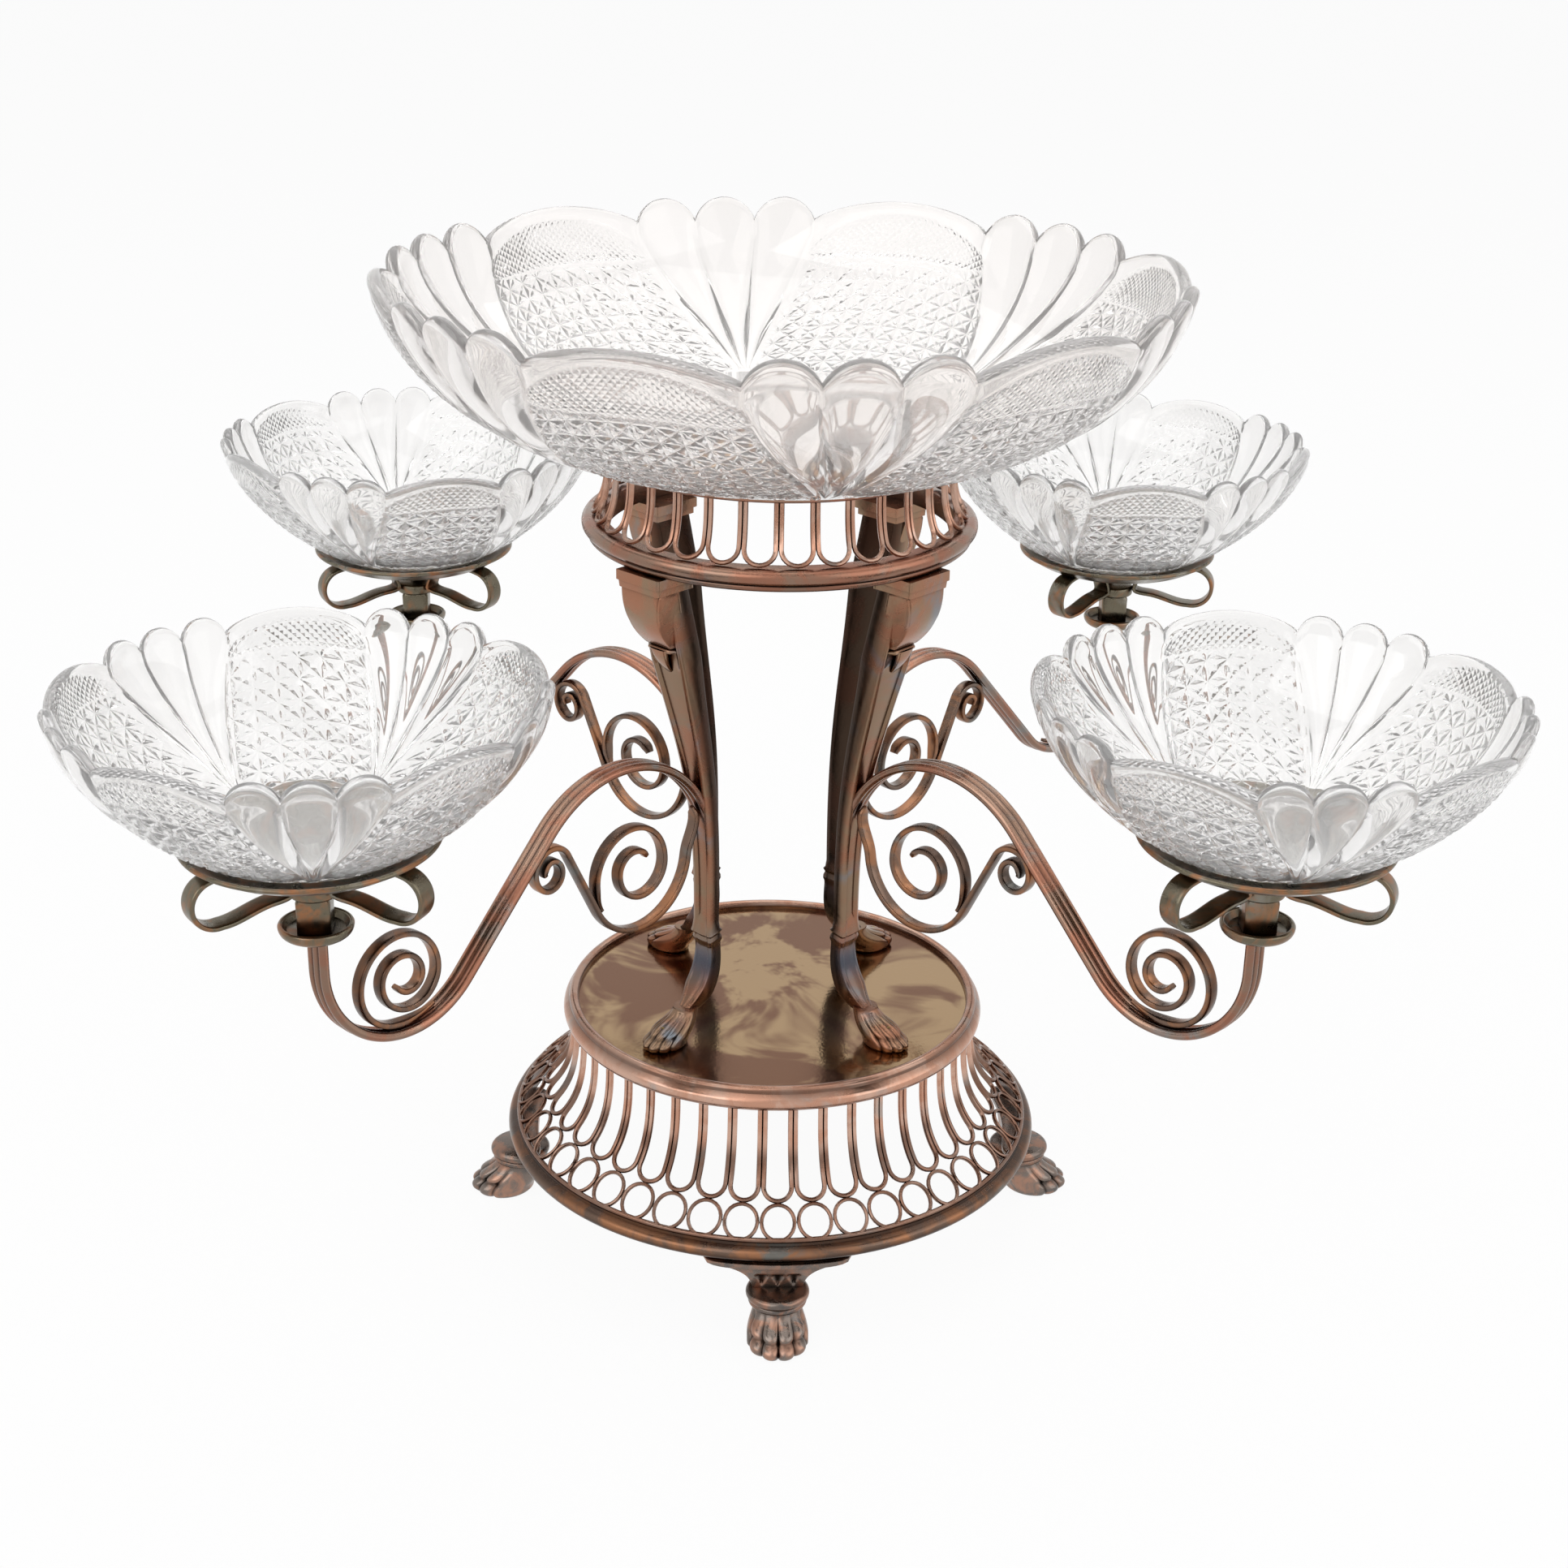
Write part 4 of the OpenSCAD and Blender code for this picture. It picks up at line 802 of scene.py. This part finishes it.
def cut_bowl(base, rim, height, wall, fans, notch, low, high, columns, rows):
    """Bowl with a flat base and a rim of round-topped tabs, as one closed shell from the middle of its
    foot out, up the outside, over the rim and down the inside. Between wide panels stand fans of three
    finger flutes. The outside is cut back from the smooth side by the fingers' round backs, by a valley
    beside each fan and by the V cuts of the starred fields. Downwards the fans draw together, and the
    columns of points with them. The foot is a ring round a shallow hollow, and a groove rings the flat
    floor. Gives the grid and the marks of the panels: distances round and down, hatched lens and starred
    field."""
    side = sweep_curve([(base, 0), low, high, (rim, height)], 400)
    length = along(side)
    slope = np.gradient(side, length, axis=0)
    part = 2 * math.pi / fans
    narrow, wide = part / 12, part / 4
    rim_angle = np.linspace(0, 2 * math.pi, columns, endpoint=False)
    rim_off = (rim_angle + part / 2) % part - part / 2
    lobe = (rim_off + narrow) % (2 * narrow) - narrow
    drop = np.where(np.abs(rim_off) < wide, tab_drop(rim * np.sin(lobe), rim * math.sin(narrow), notch),
                    tab_drop(rim * np.sin(part / 2 - np.abs(rim_off)), rim * math.sin(wide), notch))
    end = np.interp(height - drop, side[:, 1], length) - wall * (0.5 + 0.78 * slope[-1, 0])

    def at(s):
        """Radius, height and slope of the smooth side at the length s up it."""
        return [np.interp(s, length, c) for c in (side[:, 0], side[:, 1], slope[:, 0], slope[:, 1])]

    v = np.linspace(0, 1, rows)[:, None]
    s = v * end
    r, z, dr, dz = at(s)
    fan_edge = wide * np.maximum(np.clip((v - 0.18) / 0.76, 0, 1) ** 0.8, 0.1)
    beyond = fan_edge + (np.abs(rim_off) - wide) * (part / 2 - fan_edge) / (part / 2 - wide)
    off = np.where(np.abs(rim_off) < wide, rim_off * fan_edge / wide, np.sign(rim_off) * beyond)
    angle = rim_angle - rim_off + off
    flute = 1.5 * rim_off / wide + 0 * v
    across = 2 * (flute - np.round(flute))
    tips = ease(v, 0.2, 0.45)
    in_fan = ease(np.abs(flute), 1.52, 1.46)
    round_back = 1 - np.sqrt(np.clip(1 - 0.9 * across ** 2, 0, 1))
    panel = np.clip((part / 2 - np.abs(rim_off)) / (part / 2 - wide), 0, 1) + 0 * v
    around = (part / 2 - np.abs(off)) * np.sign(off) * r
    down = end - s
    lens = 0.062 * rim * np.sqrt(np.clip(1 - panel ** 2, 0, 1)) + 0.4
    band = 0.075 * rim + 0.5
    slants = [folded(x, STAR_PITCH) for x in (around, down, around + down, around - down)]
    hatch = ease(np.abs(down - band), lens, lens - 0.6) * (1 - in_fan) * ease(panel, 0.99, 0.93)
    stars = ease(down, band + lens + 0.4, band + lens + 1.4) * (1 - in_fan) * ease(panel, 0.96, 0.9)
    stars = stars * ease(v, 0.16, 0.2)
    border = hump(np.abs(down - band) - lens, 0.0, 0.8) * (1 - in_fan) * ease(panel, 0.99, 0.94)
    valley = 0.34 * (1 - in_fan) * panel ** 10 * ease(v, 0.1, 0.3)
    cut = wall * (0.5 * in_fan * round_back * tips + valley + 0.12 * border)
    cut = cut + 0.5 * stars * (1 - np.clip(np.minimum.reduce(slants), 0, 1))
    outer = np.stack([r - cut * dz, z + cut * dr], -1)
    low_s = np.interp(1.7 * wall, side[:, 1] + wall * slope[:, 0], length)
    s_in = low_s + np.linspace(1, 0, 22)[:, None] * (end - low_s)
    r_in, z_in, dr_in, dz_in = at(s_in)
    inner = np.stack([r_in - wall * dz_in, z_in + wall * dr_in], -1)
    lip_out, lip_in = outer[-1], inner[0]
    middle, reach = (lip_out + lip_in) / 2, np.linalg.norm(lip_out - lip_in, axis=-1, keepdims=True) / 2
    q = np.linspace(0, math.pi, 9)[1:-1, None, None]
    over = np.stack([dr[-1], dz[-1]], -1)
    lip = middle + (lip_out - middle) * np.cos(q) + over * reach * np.sin(q)
    disc = np.array([0.02, 0.5, 0.82, 0.88])[:, None, None]
    under = np.concatenate([disc * base, 0.9 * (disc < 0.85)], -1) + 0 * outer[:1]
    share = np.array([0.985, 0.95, 0.925, 0.5, 0.02])[:, None]
    sunk = np.array([0.8, 0.8, 0, 0, 0])[:, None]
    floor = np.stack([share * inner[-1, :, 0], inner[-1, :, 1] - sunk], -1)
    profile = np.concatenate([under, outer, lip, inner, floor])
    around_rim = np.zeros((len(lip) + len(inner) + len(floor), 1)) + angle[-1]
    angle = np.concatenate([np.zeros((len(under), 1)) + angle[0], angle, around_rim])
    grid = np.stack([profile[..., 0] * np.cos(angle), profile[..., 0] * np.sin(angle), profile[..., 1]], -1)
    marks = {}
    for name, values in (("around", around), ("down", down), ("hatch", hatch), ("stars", stars)):
        marks[name] = [np.zeros(grid.shape[:2])]
        marks[name][0][len(under):len(under) + rows] = values
    return grid, marks


def bowls():
    """Large centre bowl on its seat, and a small bowl in each carrier's saucer."""
    grid, marks = cut_bowl(base=60, rim=130, height=58.3, wall=5, fans=6, notch=7.0, low=(81.7, 4.08),
                           high=(125.1, 21.0), columns=720, rows=98)
    piece("centre_bowl_glass", "centre_bowl", LILAC,
          [(moved(turned(grid, -82), 0, 0, CENTRE_BOWL_Z), False)], ["centre_bowl"], sharp=50,
          marks=marks)
    grid, marks = cut_bowl(base=22, rim=70, height=48.5, wall=4, fans=5, notch=5.0, low=(39, 3.5),
                           high=(70, 29.1), columns=540, rows=80)
    for corner, azimuth in CORNERS.items():
        placed = turned(moved(turned(grid, BOWL_TURNS[corner]), SOCKET_R, 0, BOWL_Z), azimuth)
        piece("bowl_" + corner + "_glass", "bowl_" + corner, CLEAR, [(placed, False)],
              ["bowl_" + corner], sharp=50, marks=marks)


base_ring()
base_gallery()
platform()
top_ring()
top_gallery()
bowl_seat()
bowls()
for side, azimuth in SIDES.items():
    foot(side, azimuth)
for corner, azimuth in CORNERS.items():
    leg(corner, azimuth)
    capital(corner, azimuth)
    arm(corner, azimuth)
    scrolls(corner, azimuth)
    socket(corner, azimuth)
    carrier(corner, azimuth)


# Studio

def shown_white(tree, kind, other, share):
    """Mix of a shader with a white glow that camera, glossy and transmission rays see by the share."""
    path = add(tree, "ShaderNodeLightPath")
    seen = add(tree, "ShaderNodeMath", {0: path.outputs["Is Camera Ray"], 1: path.outputs["Is Glossy Ray"]},
               operation="MAXIMUM")
    seen = add(tree, "ShaderNodeMath", {0: seen.outputs[0], 1: path.outputs["Is Transmission Ray"]},
               operation="MAXIMUM")
    part = add(tree, "ShaderNodeMath", {0: seen.outputs[0], 1: share}, operation="MULTIPLY")
    glow = add(tree, kind, {"Color": linear("#FFFFFF"), "Strength": 1.0})
    return add(tree, "ShaderNodeMixShader", {0: part.outputs[0], 1: other, 2: glow.outputs[0]}).outputs[0]


def studio():
    """White floor that keeps a soft shadow, white surround, and three soft lamps."""
    scene = bpy.context.scene
    scene.view_settings.view_transform = "Standard"
    world = bpy.data.worlds.new("white_surround")
    scene.world = world
    world.use_nodes = True
    tree = world.node_tree
    tree.nodes.clear()
    fill = add(tree, "ShaderNodeBackground", {"Color": linear("#FFFFFF"), "Strength": 0.4})
    add(tree, "ShaderNodeOutputWorld",
        {"Surface": shown_white(tree, "ShaderNodeBackground", fill.outputs[0], 1.0)})
    finish, tree = new_finish("white_paper_floor")
    paper = add(tree, "ShaderNodeBsdfDiffuse", {"Color": linear("#F2F2F2")})
    add(tree, "ShaderNodeOutputMaterial",
        {"Surface": shown_white(tree, "ShaderNodeEmission", paper.outputs[0], 0.94)})
    mesh = bpy.data.meshes.new("floor")
    size = 6.0
    corners = [(-size, -size, 0), (size, -size, 0), (size, size, 0), (-size, size, 0)]
    mesh.from_pydata(corners, [], [(0, 1, 2, 3)])
    mesh.materials.append(finish)
    floor = bpy.data.objects.new("floor", mesh)
    scene.collection.objects.link(floor)
    for name, place, size, power in (("key_softbox", (-0.9, -0.9, 1.3), 1.7, 14),
                                     ("fill_softbox", (1.1, -0.6, 0.9), 1.5, 7),
                                     ("top_softbox", (0.1, 0.5, 1.6), 1.8, 10)):
        lamp = bpy.data.lights.new(name, "AREA")
        lamp.size = size
        lamp.energy = power
        made = bpy.data.objects.new(name, lamp)
        made.location = place
        aim = np.array([0, 0, 0.18]) - np.array(place)
        tilt = math.acos(-aim[2] / np.linalg.norm(aim))
        made.rotation_euler = (tilt, 0, math.atan2(aim[1], aim[0]) - math.pi / 2)
        scene.collection.objects.link(made)


def camera():
    """Camera at the photograph's place: heading, tilt down and roll give its right, up and forward axes."""
    heading_a, tilt, roll = (math.radians(a) for a in (2.212, 23.06, 0.974))
    forward = np.array([math.sin(heading_a) * math.cos(tilt), math.cos(heading_a) * math.cos(tilt),
                        -math.sin(tilt)])
    level = np.array([math.cos(heading_a), -math.sin(heading_a), 0])
    upward = np.cross(level, forward)
    right = level * math.cos(roll) + upward * math.sin(roll)
    up = upward * math.cos(roll) - level * math.sin(roll)
    lens = bpy.data.cameras.new("photo_camera")
    lens.lens = 55.9
    lens.sensor_width = 36
    made = bpy.data.objects.new("photo_camera", lens)
    place = np.array([-26.8, -767.1, 486.9]) * MM
    made.matrix_world = Matrix(list(zip((*right, 0), (*up, 0), (*-forward, 0), (*place, 1))))
    bpy.context.scene.collection.objects.link(made)
    bpy.context.scene.camera = made


studio()
camera()
